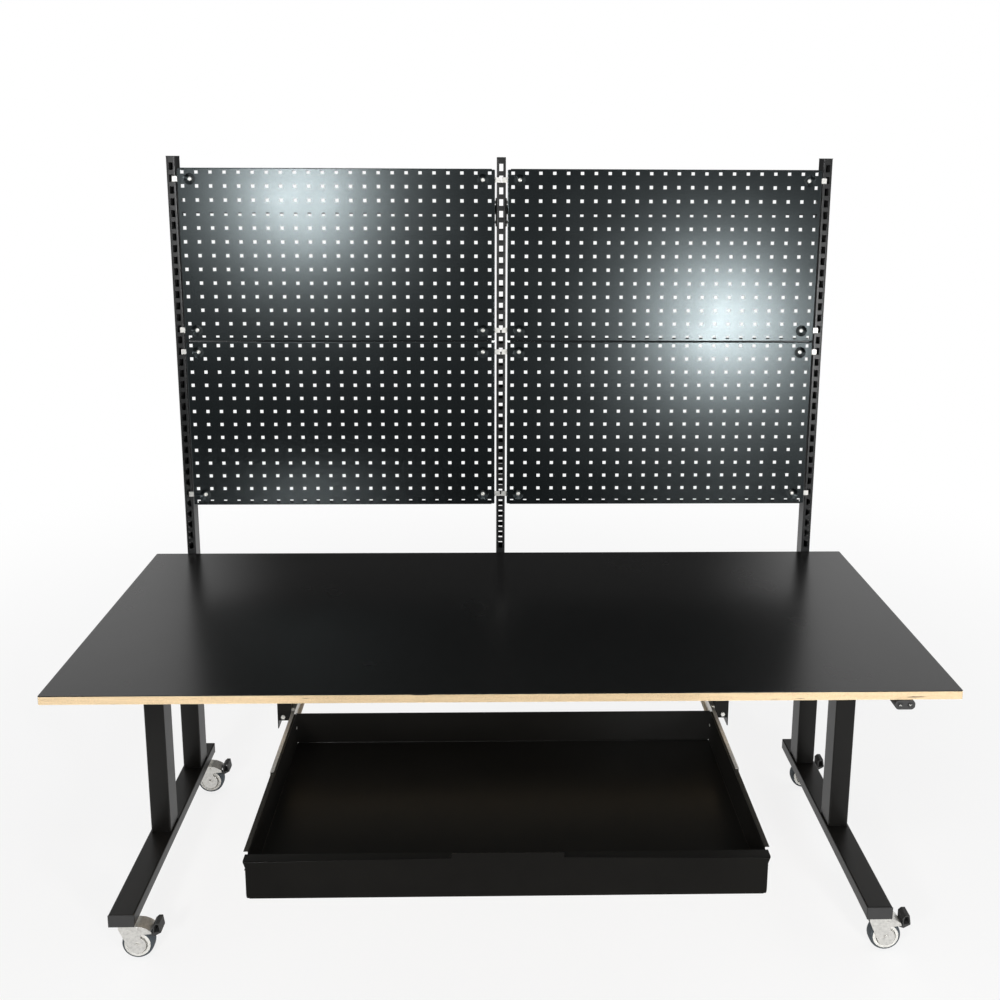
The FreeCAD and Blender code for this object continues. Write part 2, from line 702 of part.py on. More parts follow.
def make_cross_bars():
    """A tube between each two posts, welded to end plates that are screwed to the posts."""
    half_span = "post_pitch / 2 - post_width / 2"
    plate_back = "post_front + post_depth - hook_sheet - bar_y"
    plate_front = "post_front + post_wall - bar_y"
    for side, x in (("left", "-post_pitch / 2"), ("right", "post_pitch / 2")):
        label = "cross_bar_" + side
        bar = new_body(label, x, "bar_y", "bar_z")
        section = new_sketch(bar, "YZ_Plane")
        rectangle(section, "%s - bar_depth" % plate_back, plate_back,
                  "-bar_height / 2", "bar_height / 2")
        rectangle(section, "%s - bar_depth + bar_wall" % plate_back, "%s - bar_wall" % plate_back,
                  "bar_wall - bar_height / 2", "bar_height / 2 - bar_wall")
        pad(bar, section, "2 * (%s - bar_plate)" % half_span, both_ways=True)
        for offset in (half_span, "bar_plate - (%s)" % half_span):
            plate = new_sketch(bar, "YZ_Plane", "%s - bar_plate" % offset)
            rectangle(plate, plate_front, plate_back, "-bar_plate_drop - bar_plate_height / 2",
                      "bar_plate_height / 2 - bar_plate_drop")
            pad(bar, plate, "bar_plate")
        as_node(bar, label)


def make_bar_screws():
    """Screws that hold the cross bars' end plates to the posts' sides."""
    fixing = screw_head("bar_screw", "bar_screw_head_radius", "bar_screw_head_height")
    seat = "post_width / 2 + bar_plate"
    heights = ("plate_z + bar_screw_pitch / 2", "plate_z - bar_screw_pitch / 2")
    to_right = [("%s - (%s)" % (post, seat), "bar_y", z)
                for post in ("0", "post_pitch") for z in heights]
    to_left = [("%s + %s" % (post, seat), "bar_y", z)
               for post in ("-post_pitch", "0") for z in heights]
    screws = copies("bar_screw_right", fixing, to_right, Rotation(Vector(0, 0, 1), -90))
    screws += copies("bar_screw_left", fixing, to_left, Rotation(Vector(0, 0, 1), 90))
    group("cross_bar_screws", screws)


def make_panels():
    """Four alike sheet panels with a folded rim, pressed screw dimples and notched sides."""
    panel = new_body("panel")
    face = new_sketch(panel, "XZ_Plane", "-panel_flange")
    centred(face, "panel_width", "panel_height")
    pad(panel, face, "panel_flange")
    bevelled(panel, "panel_bend", lambda edge: abs(edge.CenterOfMass.y) < 0.01)
    mouth = new_sketch(panel, "XZ_Plane", "-panel_flange")
    centred(mouth, "panel_width - 2 * panel_sheet", "panel_height - 2 * panel_lip")
    pocket_forward(panel, mouth, "panel_sheet")
    hollow = new_sketch(panel, "XZ_Plane", "panel_sheet - panel_flange")
    centred(hollow, "panel_width - 2 * panel_sheet", "panel_height - 2 * panel_sheet")
    pocket_forward(panel, hollow, "panel_flange - 2 * panel_sheet")
    press_dimples(panel)
    notches = new_sketch(panel, "YZ_Plane")
    strip = "panel_standoff - hook_sheet"
    for middle in ("-dimple_z", "dimple_z"):
        rectangle(notches, "%s - notch_clearance" % strip, "panel_standoff + notch_clearance",
                  "%s - hook_height / 2 - notch_clearance" % middle,
                  "%s + hook_height / 2 + notch_clearance" % middle)
    pocket(panel, notches)
    for row, z in (("upper", "upper_z"), ("lower", "lower_z")):
        for side, x in (("left", "-post_pitch / 2"), ("right", "post_pitch / 2")):
            label = "panel_%s_%s" % (row, side)
            group(label, copies(label + "_copy", panel, [(x, "panel_front", z)]))


def press_dimples(panel):
    """Presses the four dimples to the rear: boss behind the sheet first, then the well in it."""
    spread = "(dimple_radius - dimple_floor_radius) * cos(180 / %d)" % DIMPLE_SIDES
    slope = "dimple_depth - dimple_step"
    deep = "dimple_depth + panel_sheet"
    boss = dimple_sketch(panel, "dimple_radius + panel_sheet", "-(%s)" % deep)
    pad(panel, boss, deep)
    deep_y = amount(deep)
    sloped(panel, slope, spread, lambda edge: at_dimple(edge, deep_y))
    well = dimple_sketch(panel, "dimple_floor_radius", "0")
    pocket(panel, well, "dimple_depth")
    sloped(panel, spread, slope, lambda edge: at_dimple(edge, 0))


def dimple_sketch(panel, radius, offset):
    """The outlines of the four dimples, on a plane along the panel's depth."""
    sketch = new_sketch(panel, "XZ_Plane", offset)
    for x in ("-dimple_x", "dimple_x"):
        for z in ("-dimple_z", "dimple_z"):
            ring_of_sides(sketch, "(%s)" % radius, DIMPLE_SIDES, x, z)
    return sketch


def at_dimple(edge, depth):
    """True for the edges of a dimple's outline at one depth behind the panel's face."""
    middle = edge.CenterOfMass
    reach = amount("dimple_radius + 2 * panel_sheet")
    beside = abs(abs(middle.x) - amount("dimple_x"))
    above = abs(abs(middle.z) - amount("dimple_z"))
    return abs(middle.y - depth) < 0.01 and beside < reach and above < reach


def hook_places(sign):
    """Where the posts carry the hook brackets whose strips run to one side."""
    posts = ("-post_pitch", "0") if sign == "+" else ("0", "post_pitch")
    rows = [z + end for z in ("upper_z", "lower_z") for end in (" + dimple_z", " - dimple_z")]
    return [(post, "post_front", z) for post in posts for z in rows]


def make_hooks():
    """Brackets that hook into the posts' slots and carry the panels, and the panels' screws."""
    hook = new_body("hook")
    strip = new_sketch(hook, "XZ_Plane")
    rectangle(strip, "hook_inner", "dimple_to_post + hook_overlap",
              "-hook_height / 2", "hook_height / 2")
    pad(hook, strip, "hook_sheet")
    tongue = new_sketch(hook, "YZ_Plane", "hook_inner")
    lip_front = "post_wall + glide"
    lip_back = "post_wall + glide + hook_sheet"
    polygon(tongue, [("-hook_sheet", "-tongue_height / 2"), (lip_front, "-tongue_height / 2"),
                     (lip_front, "-tongue_height / 2 - hook_lip"),
                     (lip_back, "-tongue_height / 2 - hook_lip"),
                     (lip_back, "tongue_height / 2"), ("-hook_sheet", "tongue_height / 2")])
    pad(hook, tongue, "hook_sheet")
    twin = mirrored(hook, "hook_twin")
    hooks = copies("hook_to_right", hook, hook_places("+"))
    hooks += copies("hook_to_left", twin, hook_places("-"))
    group("hook_brackets", hooks)
    fixing = screw_head("panel_screw", "panel_screw_head_radius", "panel_screw_head_height")
    seats = [(panel + side, "panel_front + dimple_depth", z)
             for panel in ("-post_pitch / 2", "post_pitch / 2")
             for side in (" - dimple_x", " + dimple_x")
             for z in ("upper_z - dimple_z", "upper_z + dimple_z",
                       "lower_z - dimple_z", "lower_z + dimple_z")]
    group("panel_screws", copies("panel_screw_copy", fixing, seats))


def make_hangers():
    """Folded hangers for the slides: the front end under the rail, the rest up to the core."""
    hanger = new_body("hanger_right")
    outline = new_sketch(hanger, "YZ_Plane", "hanger_inner")
    back = "hanger_front + slide_length"
    step = "hanger_front + rail_width + hanger_clearance"
    polygon(outline, [("hanger_front", "frame_bottom - hanger_outer_drop"),
                      (back, "frame_bottom - hanger_outer_drop"), (back, "core_bottom"),
                      (step, "core_bottom"), (step, "frame_bottom"),
                      ("hanger_front", "frame_bottom")])
    pad(hanger, outline, "hanger_width")
    hollow = new_sketch(hanger, "YZ_Plane", "hanger_outer - hanger_sheet")
    polygon(hollow, [("hanger_front + hanger_sheet", "frame_bottom - hanger_outer_drop"),
                     (back, "frame_bottom - hanger_outer_drop"),
                     (back, "core_bottom - hanger_sheet"),
                     ("%s + hanger_sheet" % step, "core_bottom - hanger_sheet"),
                     ("%s + hanger_sheet" % step, "frame_bottom - hanger_sheet"),
                     ("hanger_front + hanger_sheet", "frame_bottom - hanger_sheet")])
    pocket(hanger, hollow, "hanger_width - 2 * hanger_sheet")
    shorter = new_sketch(hanger, "YZ_Plane", "hanger_outer - hanger_sheet")
    rectangle(shorter, "hanger_front", back, "frame_bottom - hanger_outer_drop",
              "frame_bottom - hanger_inner_drop")
    pocket(hanger, shorter, "hanger_width - hanger_sheet")
    as_node(hanger, "drawer_hanger_right")
    as_node(mirrored(hanger, "hanger_left"), "drawer_hanger_left")


def make_hanger_screws():
    """One screw in the front and one in the outer side of each hanger."""
    fixing = screw_head("hanger_screw", "hanger_screw_head_radius", "hanger_screw_head_height")
    across = "hanger_inner + hanger_screw_across"
    front = copies("hanger_screw_front", fixing,
                   [(across, "hanger_front", "hanger_screw_z"),
                    ("-(%s)" % across, "hanger_front", "hanger_screw_z")])
    side_y = "hanger_front + hanger_screw_setback"
    right = copies("hanger_screw_right", fixing, [("hanger_outer", side_y, "hanger_screw_z")],
                   Rotation(Vector(0, 0, 1), 90))
    left = copies("hanger_screw_left", fixing, [("-hanger_outer", side_y, "hanger_screw_z")],
                  Rotation(Vector(0, 0, 1), -90))
    group("hanger_screws", front + right + left)


def channel(name, root, tip, half_height, y):
    """A slide member: a channel along Y whose web starts at root and whose edges end at tip."""
    body = new_body(name, "0", y, "slide_z")
    sketch = new_sketch(body, "XZ_Plane", "-slide_length")
    inward = "+" if amount(tip) > amount(root) else "-"
    web = "%s %s slide_sheet" % (root, inward)
    polygon(sketch, [(root, "-(%s)" % half_height), (tip, "-(%s)" % half_height),
                     (tip, "slide_sheet - (%s)" % half_height),
                     (web, "slide_sheet - (%s)" % half_height),
                     (web, "%s - slide_sheet" % half_height),
                     (tip, "%s - slide_sheet" % half_height),
                     (tip, half_height), (root, half_height)])
    pad(body, sketch, "slide_length")
    return body


def make_slides():
    """Three-part slides: outer members on the hangers, inner ones on the tray."""
    tray_side = "drawer_width / 2"
    step = "slide_sheet + slide_gap"
    outer = channel("slide_outer", "hanger_inner", "%s + slide_sheet + slide_lip" % tray_side,
                    "slide_height / 2", "hanger_front")
    middle = channel("slide_middle", "hanger_inner - (%s)" % step,
                     "%s + slide_sheet + slide_middle_lip" % tray_side,
                     "slide_height / 2 - (%s)" % step, "hanger_front - drawer_travel / 2")
    inner = channel("slide_inner", tray_side, "hanger_inner - 2 * (%s) - slide_gap" % step,
                    "slide_height / 2 - 2 * (%s)" % step, "hanger_front - drawer_travel")
    for label, member in (("slide_outer_members", outer), ("slide_middle_members", middle),
                          ("slide_inner_members", inner)):
        group(label, [member, mirrored(member, label + "_left")])


def make_tray():
    """Drawer tray of folded sheet, open at its front, with its walls up to the front's lip."""
    tray = new_body("drawer_tray", "0", "drawer_front_y", "drawer_bottom")
    wall_top = "drawer_height - drawer_sheet"
    floor = new_sketch(tray, "XY_Plane")
    rectangle(floor, "-drawer_width / 2", "drawer_width / 2", "drawer_sheet", "drawer_depth")
    pad(tray, floor, wall_top)
    hollow = new_sketch(tray, "XY_Plane", wall_top)
    rectangle(hollow, "drawer_sheet - drawer_width / 2", "drawer_width / 2 - drawer_sheet",
              "drawer_sheet", "drawer_depth - drawer_sheet")
    pocket(tray, hollow, "%s - drawer_sheet" % wall_top)
    as_node(tray, "drawer_tray")


def make_drawer_front():
    """Folded front with its upper edge turned back, a raised middle and flared ends."""
    front = new_body("drawer_front", "0", "drawer_front_y", "drawer_bottom")
    half = "drawer_width / 2"
    face = new_sketch(front, "XZ_Plane", "-drawer_sheet")
    right_side = [("%s - front_chamfer" % half, "0"), (half, "front_chamfer"),
                  (half, "drawer_height - lip_height"), ("%s + lip_flare" % half, "drawer_height")]
    left_side = [("-(%s)" % x, z) for x, z in reversed(right_side)]
    polygon(face, right_side + left_side)
    pad(front, face, "drawer_sheet")
    raised = new_sketch(front, "XZ_Plane", "-drawer_sheet")
    rectangle(raised, "-tab_width / 2", "tab_width / 2", "drawer_height - drawer_sheet",
              "drawer_height + tab_rise")
    pad(front, raised, "drawer_sheet")
    corner_z = amount("drawer_height + tab_rise")
    rounded(front, "tab_corner",
            lambda edge: runs_along(edge, Vector(0, 1, 0))
            and abs(edge.CenterOfMass.z - corner_z) < 0.01)
    lip = new_sketch(front, "XY_Plane", "drawer_height - drawer_sheet")
    edge_half = "%s + lip_flare - lip_flare * drawer_sheet / lip_height" % half
    rectangle(lip, "-(%s)" % edge_half, edge_half, "0", "lip_depth")
    pad(front, lip, "drawer_sheet")
    returns = new_sketch(front, "XY_Plane", "2 * drawer_sheet")
    inner = "%s - drawer_sheet" % half
    rectangle(returns, "%s - drawer_sheet" % inner, inner, "0", "front_return")
    rectangle(returns, "-(%s)" % inner, "drawer_sheet - (%s)" % inner, "0", "front_return")
    pad(front, returns, "drawer_height - 3 * drawer_sheet")
    as_node(front, "drawer_front")


def make_rivets():
    """Rivets in the tray's side walls: two hold the front's flanges, two stand at the back."""
    rivet = screw_head("rivet", "rivet_head_radius", "rivet_head_height")
    z = "drawer_top - rivet_drop"
    links = []
    for label, y, layers in (("front", "drawer_front_y + rivet_inset", 2),
                             ("back", "drawer_front_y + drawer_depth - rivet_inset", 1)):
        seat = "drawer_width / 2 - %d * drawer_sheet" % layers
        links += copies("rivet_right_" + label, rivet, [(seat, y, z)],
                        Rotation(Vector(0, 0, 1), -90))
        links += copies("rivet_left_" + label, rivet, [("-(%s)" % seat, y, z)],
                        Rotation(Vector(0, 0, 1), 90))
    group("drawer_rivets", links)


def make_handset():
    """Handset for the table's height, with two sprung buttons in their wells."""
    body = new_body("handset_housing", "handset_x", "handset_front", "handset_z")
    section = new_sketch(body, "XZ_Plane", "-handset_length")
    centred(section, "handset_width", "handset_height")
    pad(body, section, "handset_length")
    rounded(body, "handset_corner", lambda edge: runs_along(edge, Vector(0, 1, 0)))
    wells = new_sketch(body, "XZ_Plane", "-button_well")
    for x in ("-button_pitch / 2", "button_pitch / 2"):
        ring_of_sides(wells, "(button_radius + glide)", KEY_SIDES, x)
    pocket_forward(body, wells, "button_well")
    as_node(body, "handset_housing")
    for name, side in (("up", "-"), ("down", "+")):
        label = "handset_button_" + name
        button = new_body(label, "handset_x %s button_pitch / 2" % side,
                          "handset_front - button_proud", "handset_z")
        sketch = new_sketch(button, "XZ_Plane", "-button_length")
        ring_of_sides(sketch, "button_radius", KEY_SIDES)
        pad(button, sketch, "button_length")
        as_node(button, label)


def make_control_box():
    """Closed box with the height drive's supply, under the worktop behind the shut drawer."""
    box = new_body("control_box", "0", "top_front + control_setback",
                   "core_bottom - control_height")
    sketch = new_sketch(box, "XY_Plane")
    rectangle(sketch, "-control_width / 2", "control_width / 2", "0", "control_depth")
    pad(box, sketch, "control_height")
    bevelled(box, "control_corner", lambda edge: runs_along(edge, Vector(0, 0, 1)))
    as_node(box, "control_box")


def make_caster_fork():
    """Pressed fork: straight crown that runs into an arc over the wheel, two cheeks with horns
    and, riveted in them, the axle and the brake pedal's pin."""
    fork = new_body("fork")
    side = new_sketch(fork, "XZ_Plane")
    fork_outline(side)
    pad(fork, side, "2 * fork_half_width", both_ways=True)
    cup = new_sketch(fork, "XY_Plane", "fork_crown_radius")
    ring_of_sides(cup, "cup_radius", HOUSING_SIDES, "-wheel_trail")
    pad(fork, cup, "swivel_bottom - glide - wheel_radius - fork_crown_radius")
    gap = new_sketch(fork, "XZ_Plane")
    fork_gap(gap)
    pocket(fork, gap, "2 * cheek_inner", both_ways=True)
    swivel_hole = new_sketch(fork, "XY_Plane")
    circle(swivel_hole, "-wheel_trail", "0", "king_pin_radius + running_fit")
    pocket(fork, swivel_hole)
    pin(fork, "axle_radius", "axle_head_radius", "axle_head_height")
    pin(fork, "pivot_radius", "pivot_head_radius", "pivot_head_height", "pivot_x", "pivot_z")
    return fork


def fork_outline(sketch):
    """Side view of the fork: two arcs about the axle, joined by straight edges."""
    end_z = "sqrt(fork_crown_radius * fork_crown_radius - fork_end * fork_end)"
    cheek = arc_corners("cheek_radius", *CHEEK_EDGE, CHEEK_FLATS)
    crown = arc_corners("fork_crown_radius", *CROWN_EDGE, CROWN_FLATS)
    polygon(sketch, [("-fork_back", "fork_crown_radius"),
                     ("-fork_back", "fork_crown_radius - 3 * fork_sheet")] + cheek
            + [(cheek[-1][0], "horn_low - fork_sheet"), ("fork_end + horn_reach", "horn_low"),
               ("fork_end", end_z)] + crown)


def fork_gap(sketch):
    """The space between the cheeks, below the crown."""
    low = "-cheek_radius - fork_sheet"
    clear = "fork_end + 3 * fork_sheet"
    end_z = "sqrt(crown_bottom * crown_bottom - fork_end * fork_end)"
    crown = arc_corners("(crown_bottom)", *CROWN_EDGE, CROWN_FLATS)
    polygon(sketch, [("-fork_back - fork_sheet", "crown_bottom"),
                     ("-fork_back - fork_sheet", low), (clear, low), (clear, "crown_bottom"),
                     ("fork_end", "crown_bottom"), ("fork_end", end_z)] + crown)


def pin(fork, radius, head_radius, head_height, x="0", z="0"):
    """A pin from cheek to cheek, riveted in both, with a six-sided head outside each."""
    shank = new_sketch(fork, "XZ_Plane")
    circle(shank, x, z, radius)
    pad(fork, shank, "2 * fork_half_width - fork_sheet", both_ways=True)
    for face in ("fork_half_width", "-fork_half_width - %s" % head_height):
        head = new_sketch(fork, "XZ_Plane", face)
        ring_of_sides(head, head_radius, 6, x, z)
        pad(fork, head, head_height)


def make_wheel_hub():
    """Rim whose ring stands proud round the cheeks, with the bore for the axle."""
    hub = new_body("hub")
    disc = new_sketch(hub, "XZ_Plane")
    ring_of_sides(disc, "rim_radius", WHEEL_SIDES)
    pad(hub, disc, "2 * rim_half_width", both_ways=True)
    front = new_sketch(hub, "XZ_Plane", "rim_half_width")
    ring_of_sides(front, "(rim_radius - rim_wall)", WHEEL_SIDES)
    pocket(hub, front, "rim_recess")
    back = new_sketch(hub, "XZ_Plane", "-rim_half_width")
    ring_of_sides(back, "(rim_radius - rim_wall)", WHEEL_SIDES)
    pocket_forward(hub, back, "rim_recess")
    bore = new_sketch(hub, "XZ_Plane")
    circle(bore, "0", "0", "axle_radius + running_fit")
    pocket(hub, bore)
    return hub


def make_tyre():
    """Tyre on the rim, bevelled towards its tread."""
    tyre = new_body("tyre")
    sketch = new_sketch(tyre, "XZ_Plane")
    ring_of_sides(sketch, "wheel_radius", WHEEL_SIDES)
    ring_of_sides(sketch, "rim_radius", WHEEL_SIDES)
    pad(tyre, sketch, "2 * tyre_half_width", both_ways=True)
    side = amount("tyre_half_width")
    seat = amount("rim_radius")
    bevelled(tyre, "tread_bevel",
             lambda edge: abs(abs(edge.CenterOfMass.y) - side) < 0.01
             and Vector(edge.CenterOfMass.x, 0, edge.CenterOfMass.z).Length > seat)
    return tyre


def make_pedal():
    """Brake pedal: two arms from the pin and a loop beyond the fork for the foot."""
    pedal = new_body("pedal")
    crest_end = "pedal_reach - tip_lean - pedal_crest"
    arms = new_sketch(pedal, "XZ_Plane")
    polygon(arms, arc_corners("arm_radius", 90, 270, 4, "pivot_x", "pivot_z")
            + [("arm_bend_x", "arm_bend_z"), ("arm_neck_x", "arm_neck_z"),
               ("pedal_root + loop_wall", "pedal_low"), ("pedal_reach", "tip_low"),
               ("pedal_reach", "tip_low + tip_height"), ("pedal_reach - tip_lean", "pedal_top"),
               (crest_end, "pedal_top"), ("pedal_root", "pedal_top - pedal_fall"),
               ("pedal_root", "pedal_low + arm_rise"),
               ("arm_neck_x + arm_lean", "arm_neck_z + arm_rise"),
               ("arm_bend_x + arm_lean", "arm_bend_z + arm_rise")])
    pad(pedal, arms, "2 * arm_outer", both_ways=True)
    loop = new_sketch(pedal, "XZ_Plane")
    polygon(loop, [("pedal_root + loop_wall", "pedal_top - pedal_fall - loop_wall"),
                   ("pedal_root + loop_wall", "tip_low"),
                   ("pedal_reach - loop_wall", "tip_low + loop_wall"),
                   ("pedal_reach - tip_lean - loop_wall", "pedal_top - loop_wall"),
                   (crest_end, "pedal_top - loop_wall")])
    pocket(pedal, loop)
    between = new_sketch(pedal, "XZ_Plane")
    rectangle(between, "pivot_x - 2 * arm_radius", "pedal_root - glide", "0", "pedal_top")
    pocket(pedal, between, "2 * (arm_outer - arm_sheet)", both_ways=True)
    bore = new_sketch(pedal, "XZ_Plane")
    circle(bore, "pivot_x", "pivot_z", "pivot_radius + running_fit")
    pocket(pedal, bore)
    return pedal


def make_swivel():
    """Mounting plate with the swivel's housing and the pin that holds the fork."""
    swivel = new_body("swivel")
    plate = new_sketch(swivel, "XY_Plane", "-swivel_plate")
    centred(plate, "swivel_plate_width", "swivel_plate_width")
    pad(swivel, plate, "swivel_plate")
    housing = new_sketch(swivel, "XY_Plane", "swivel_bottom - caster_height")
    ring_of_sides(housing, "swivel_radius", HOUSING_SIDES)
    pad(swivel, housing, "swivel_height")
    pin_end = "wheel_radius + crown_bottom - glide - caster_height"
    shank = new_sketch(swivel, "XY_Plane", pin_end)
    circle(shank, "0", "0", "king_pin_radius")
    pad(swivel, shank, "-(%s) - swivel_plate" % pin_end)
    nut = new_sketch(swivel, "XY_Plane", "%s - king_head_height" % pin_end)
    hexagon(nut, "king_head_radius")
    pad(swivel, nut, "king_head_height")
    return swivel


def make_casters():
    """Four swivel casters, all with their wheel to the right of the swivel axis."""
    fork = make_caster_fork()
    hub = make_wheel_hub()
    tyre = make_tyre()
    pedal = make_pedal()
    swivel = make_swivel()
    rows = {"front": "caster_front_y", "rear": "caster_rear_y"}
    for side, x in (("left", "-leg_x"), ("right", "leg_x")):
        label = "caster_plates_" + side
        group(label, copies(label + "_copy", swivel,
                            [(x, y, "caster_height") for y in rows.values()]))
        for row, y in rows.items():
            place = [("%s + wheel_trail" % x, y, "wheel_radius")]
            for piece, source in (("fork", fork), ("hub", hub), ("tyre", tyre), ("pedal", pedal)):
                label = "caster_%s_%s_%s" % (piece, row, side)
                group(label, copies(label + "_copy", source, place))


def check_and_export():
    """Stops at any failed object, then writes one STEP file for each sub-part."""
    doc.recompute()
    for thing in doc.Objects:
        if "Invalid" in thing.State or "Error" in thing.State:
            raise RuntimeError("%s failed: %s" % (thing.Label, thing.getStatusString()))
    for thing in nodes:
        if thing.Shape.isNull() or not thing.Shape.isValid():
            raise RuntimeError(thing.Label + " has no sound shape")
    os.makedirs("parts", exist_ok=True)
    for thing in nodes:
        thing.Shape.exportStep("parts/%s.step" % thing.Label)


fill_sheet()
make_worktop()
make_rails()
make_columns()
make_feet()
make_posts()
make_post_fittings()
make_cross_bars()
make_bar_screws()
make_panels()
make_hooks()
make_hangers()
make_hanger_screws()
make_slides()
make_tray()
make_drawer_front()
make_rivets()
make_handset()
make_control_box()
make_casters()
check_and_export()
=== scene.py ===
"""Looks of a height-adjustable assembly table: finishes, panels, fittings, casters and studio."""

import json
import math

import bmesh
import bpy
from bpy.props import FloatProperty, FloatVectorProperty, IntProperty, PointerProperty
from bpy.types import Operator, Panel, PropertyGroup
from mathutils import Matrix, Vector


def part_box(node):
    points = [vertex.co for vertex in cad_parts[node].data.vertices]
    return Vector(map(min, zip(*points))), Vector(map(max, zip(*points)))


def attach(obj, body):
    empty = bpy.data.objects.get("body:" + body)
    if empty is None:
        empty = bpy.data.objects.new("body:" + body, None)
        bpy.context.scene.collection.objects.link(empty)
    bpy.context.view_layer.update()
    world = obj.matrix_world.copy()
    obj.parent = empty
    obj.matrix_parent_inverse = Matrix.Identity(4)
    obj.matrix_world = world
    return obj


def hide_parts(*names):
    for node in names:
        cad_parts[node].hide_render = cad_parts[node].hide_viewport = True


bl_info = {
    "name": "Assembly Table",
    "version": (1, 0, 0),
    "blender": (4, 5, 0),
    "location": "View3D > Sidebar > Table",
    "description": "Builds the looks of a height-adjustable assembly table over its solid parts",
    "category": "Add Mesh",
}

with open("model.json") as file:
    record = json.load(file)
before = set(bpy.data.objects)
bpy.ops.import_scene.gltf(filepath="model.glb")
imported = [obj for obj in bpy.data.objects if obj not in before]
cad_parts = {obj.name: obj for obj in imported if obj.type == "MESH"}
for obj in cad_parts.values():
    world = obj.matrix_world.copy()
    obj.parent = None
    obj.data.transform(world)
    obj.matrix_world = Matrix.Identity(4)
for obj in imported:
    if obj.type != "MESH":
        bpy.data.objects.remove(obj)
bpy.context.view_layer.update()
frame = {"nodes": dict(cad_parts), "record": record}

PANELS = ("panel_upper_left", "panel_upper_right", "panel_lower_left", "panel_lower_right")
CORNERS = tuple(row + "_" + side for row in ("front", "rear") for side in ("left", "right"))
# How finely bends and turned shapes are drawn
BEND_STEPS = 5
DIMPLE_SIDES = 48
SCREW_SIDES = 36
TYRE_SIDES = 72
RIM_SIDES = 64

# A screw's dome and a tyre's side: shares of the radius and height, and of the rise and half width
SCREW_DOME = ((1.0, 0.0), (1.0, 0.22), (0.97, 0.42), (0.87, 0.68), (0.72, 0.88), (0.58, 1.0))
TYRE_CURVE = ((0.0, 1.0), (0.30, 0.985), (0.62, 0.90), (0.86, 0.72), (0.97, 0.5), (1.0, 0.25))

# Metres, and degrees for the angle
RIM_BOSS = 0.0118
WEB_SUNK = 0.0022
TAB_CORNER = 0.002
WELD_GAP = 0.000002
ROUNDED_ANGLE = 38

X_AXIS = Vector((1, 0, 0))
Y_AXIS = Vector((0, 1, 0))
Z_AXIS = Vector((0, 0, 1))


# Sizes and colours that a user may change

class FinishColours(PropertyGroup):
    """Colours of the table's coats, plastics and work surface."""

    coat: FloatVectorProperty(
        name="Frame coat", description="Black powder coat of the frame, drawer and feet",
        subtype="COLOR", size=3, default=(0.0045, 0.0041, 0.0034), min=0, max=1)
    post: FloatVectorProperty(
        name="Post coat", description="Powder coat of the slotted posts",
        subtype="COLOR", size=3, default=(0.0075, 0.0080, 0.0082), min=0, max=1)
    panel: FloatVectorProperty(
        name="Panel coat", description="Slate powder coat of the perforated panels",
        subtype="COLOR", size=3, default=(0.0030, 0.0038, 0.0043), min=0, max=1)
    surface: FloatVectorProperty(
        name="Work surface", description="Satin black laminate",
        subtype="COLOR", size=3, default=(0.0050, 0.0049, 0.0046), min=0, max=1)
    plywood: FloatVectorProperty(
        name="Plywood", description="Long-grain plies of the worktop's edge",
        subtype="COLOR", size=3, default=(0.83, 0.66, 0.42), min=0, max=1)
    plywood_end: FloatVectorProperty(
        name="Plywood end grain", description="Cross plies of the worktop's edge",
        subtype="COLOR", size=3, default=(0.60, 0.42, 0.235), min=0, max=1)
    zinc: FloatVectorProperty(
        name="Zinc", description="Zinc-plated steel of slides, hooks, screws and casters",
        subtype="COLOR", size=3, default=(0.66, 0.65, 0.62), min=0, max=1)
    plastic: FloatVectorProperty(
        name="Black plastic", description="End caps, handset and control box",
        subtype="COLOR", size=3, default=(0.011, 0.011, 0.011), min=0, max=1)
    dark_zinc: FloatVectorProperty(
        name="Dark zinc", description="Black-passivated steel of the slides' running members",
        subtype="COLOR", size=3, default=(0.045, 0.042, 0.036), min=0, max=1)
    rim: FloatVectorProperty(
        name="Wheel rim", description="Moulded rims of the casters",
        subtype="COLOR", size=3, default=(0.74, 0.73, 0.69), min=0, max=1)
    tread: FloatVectorProperty(
        name="Tread", description="Rubber of the casters' tyres",
        subtype="COLOR", size=3, default=(0.060, 0.072, 0.082), min=0, max=1)


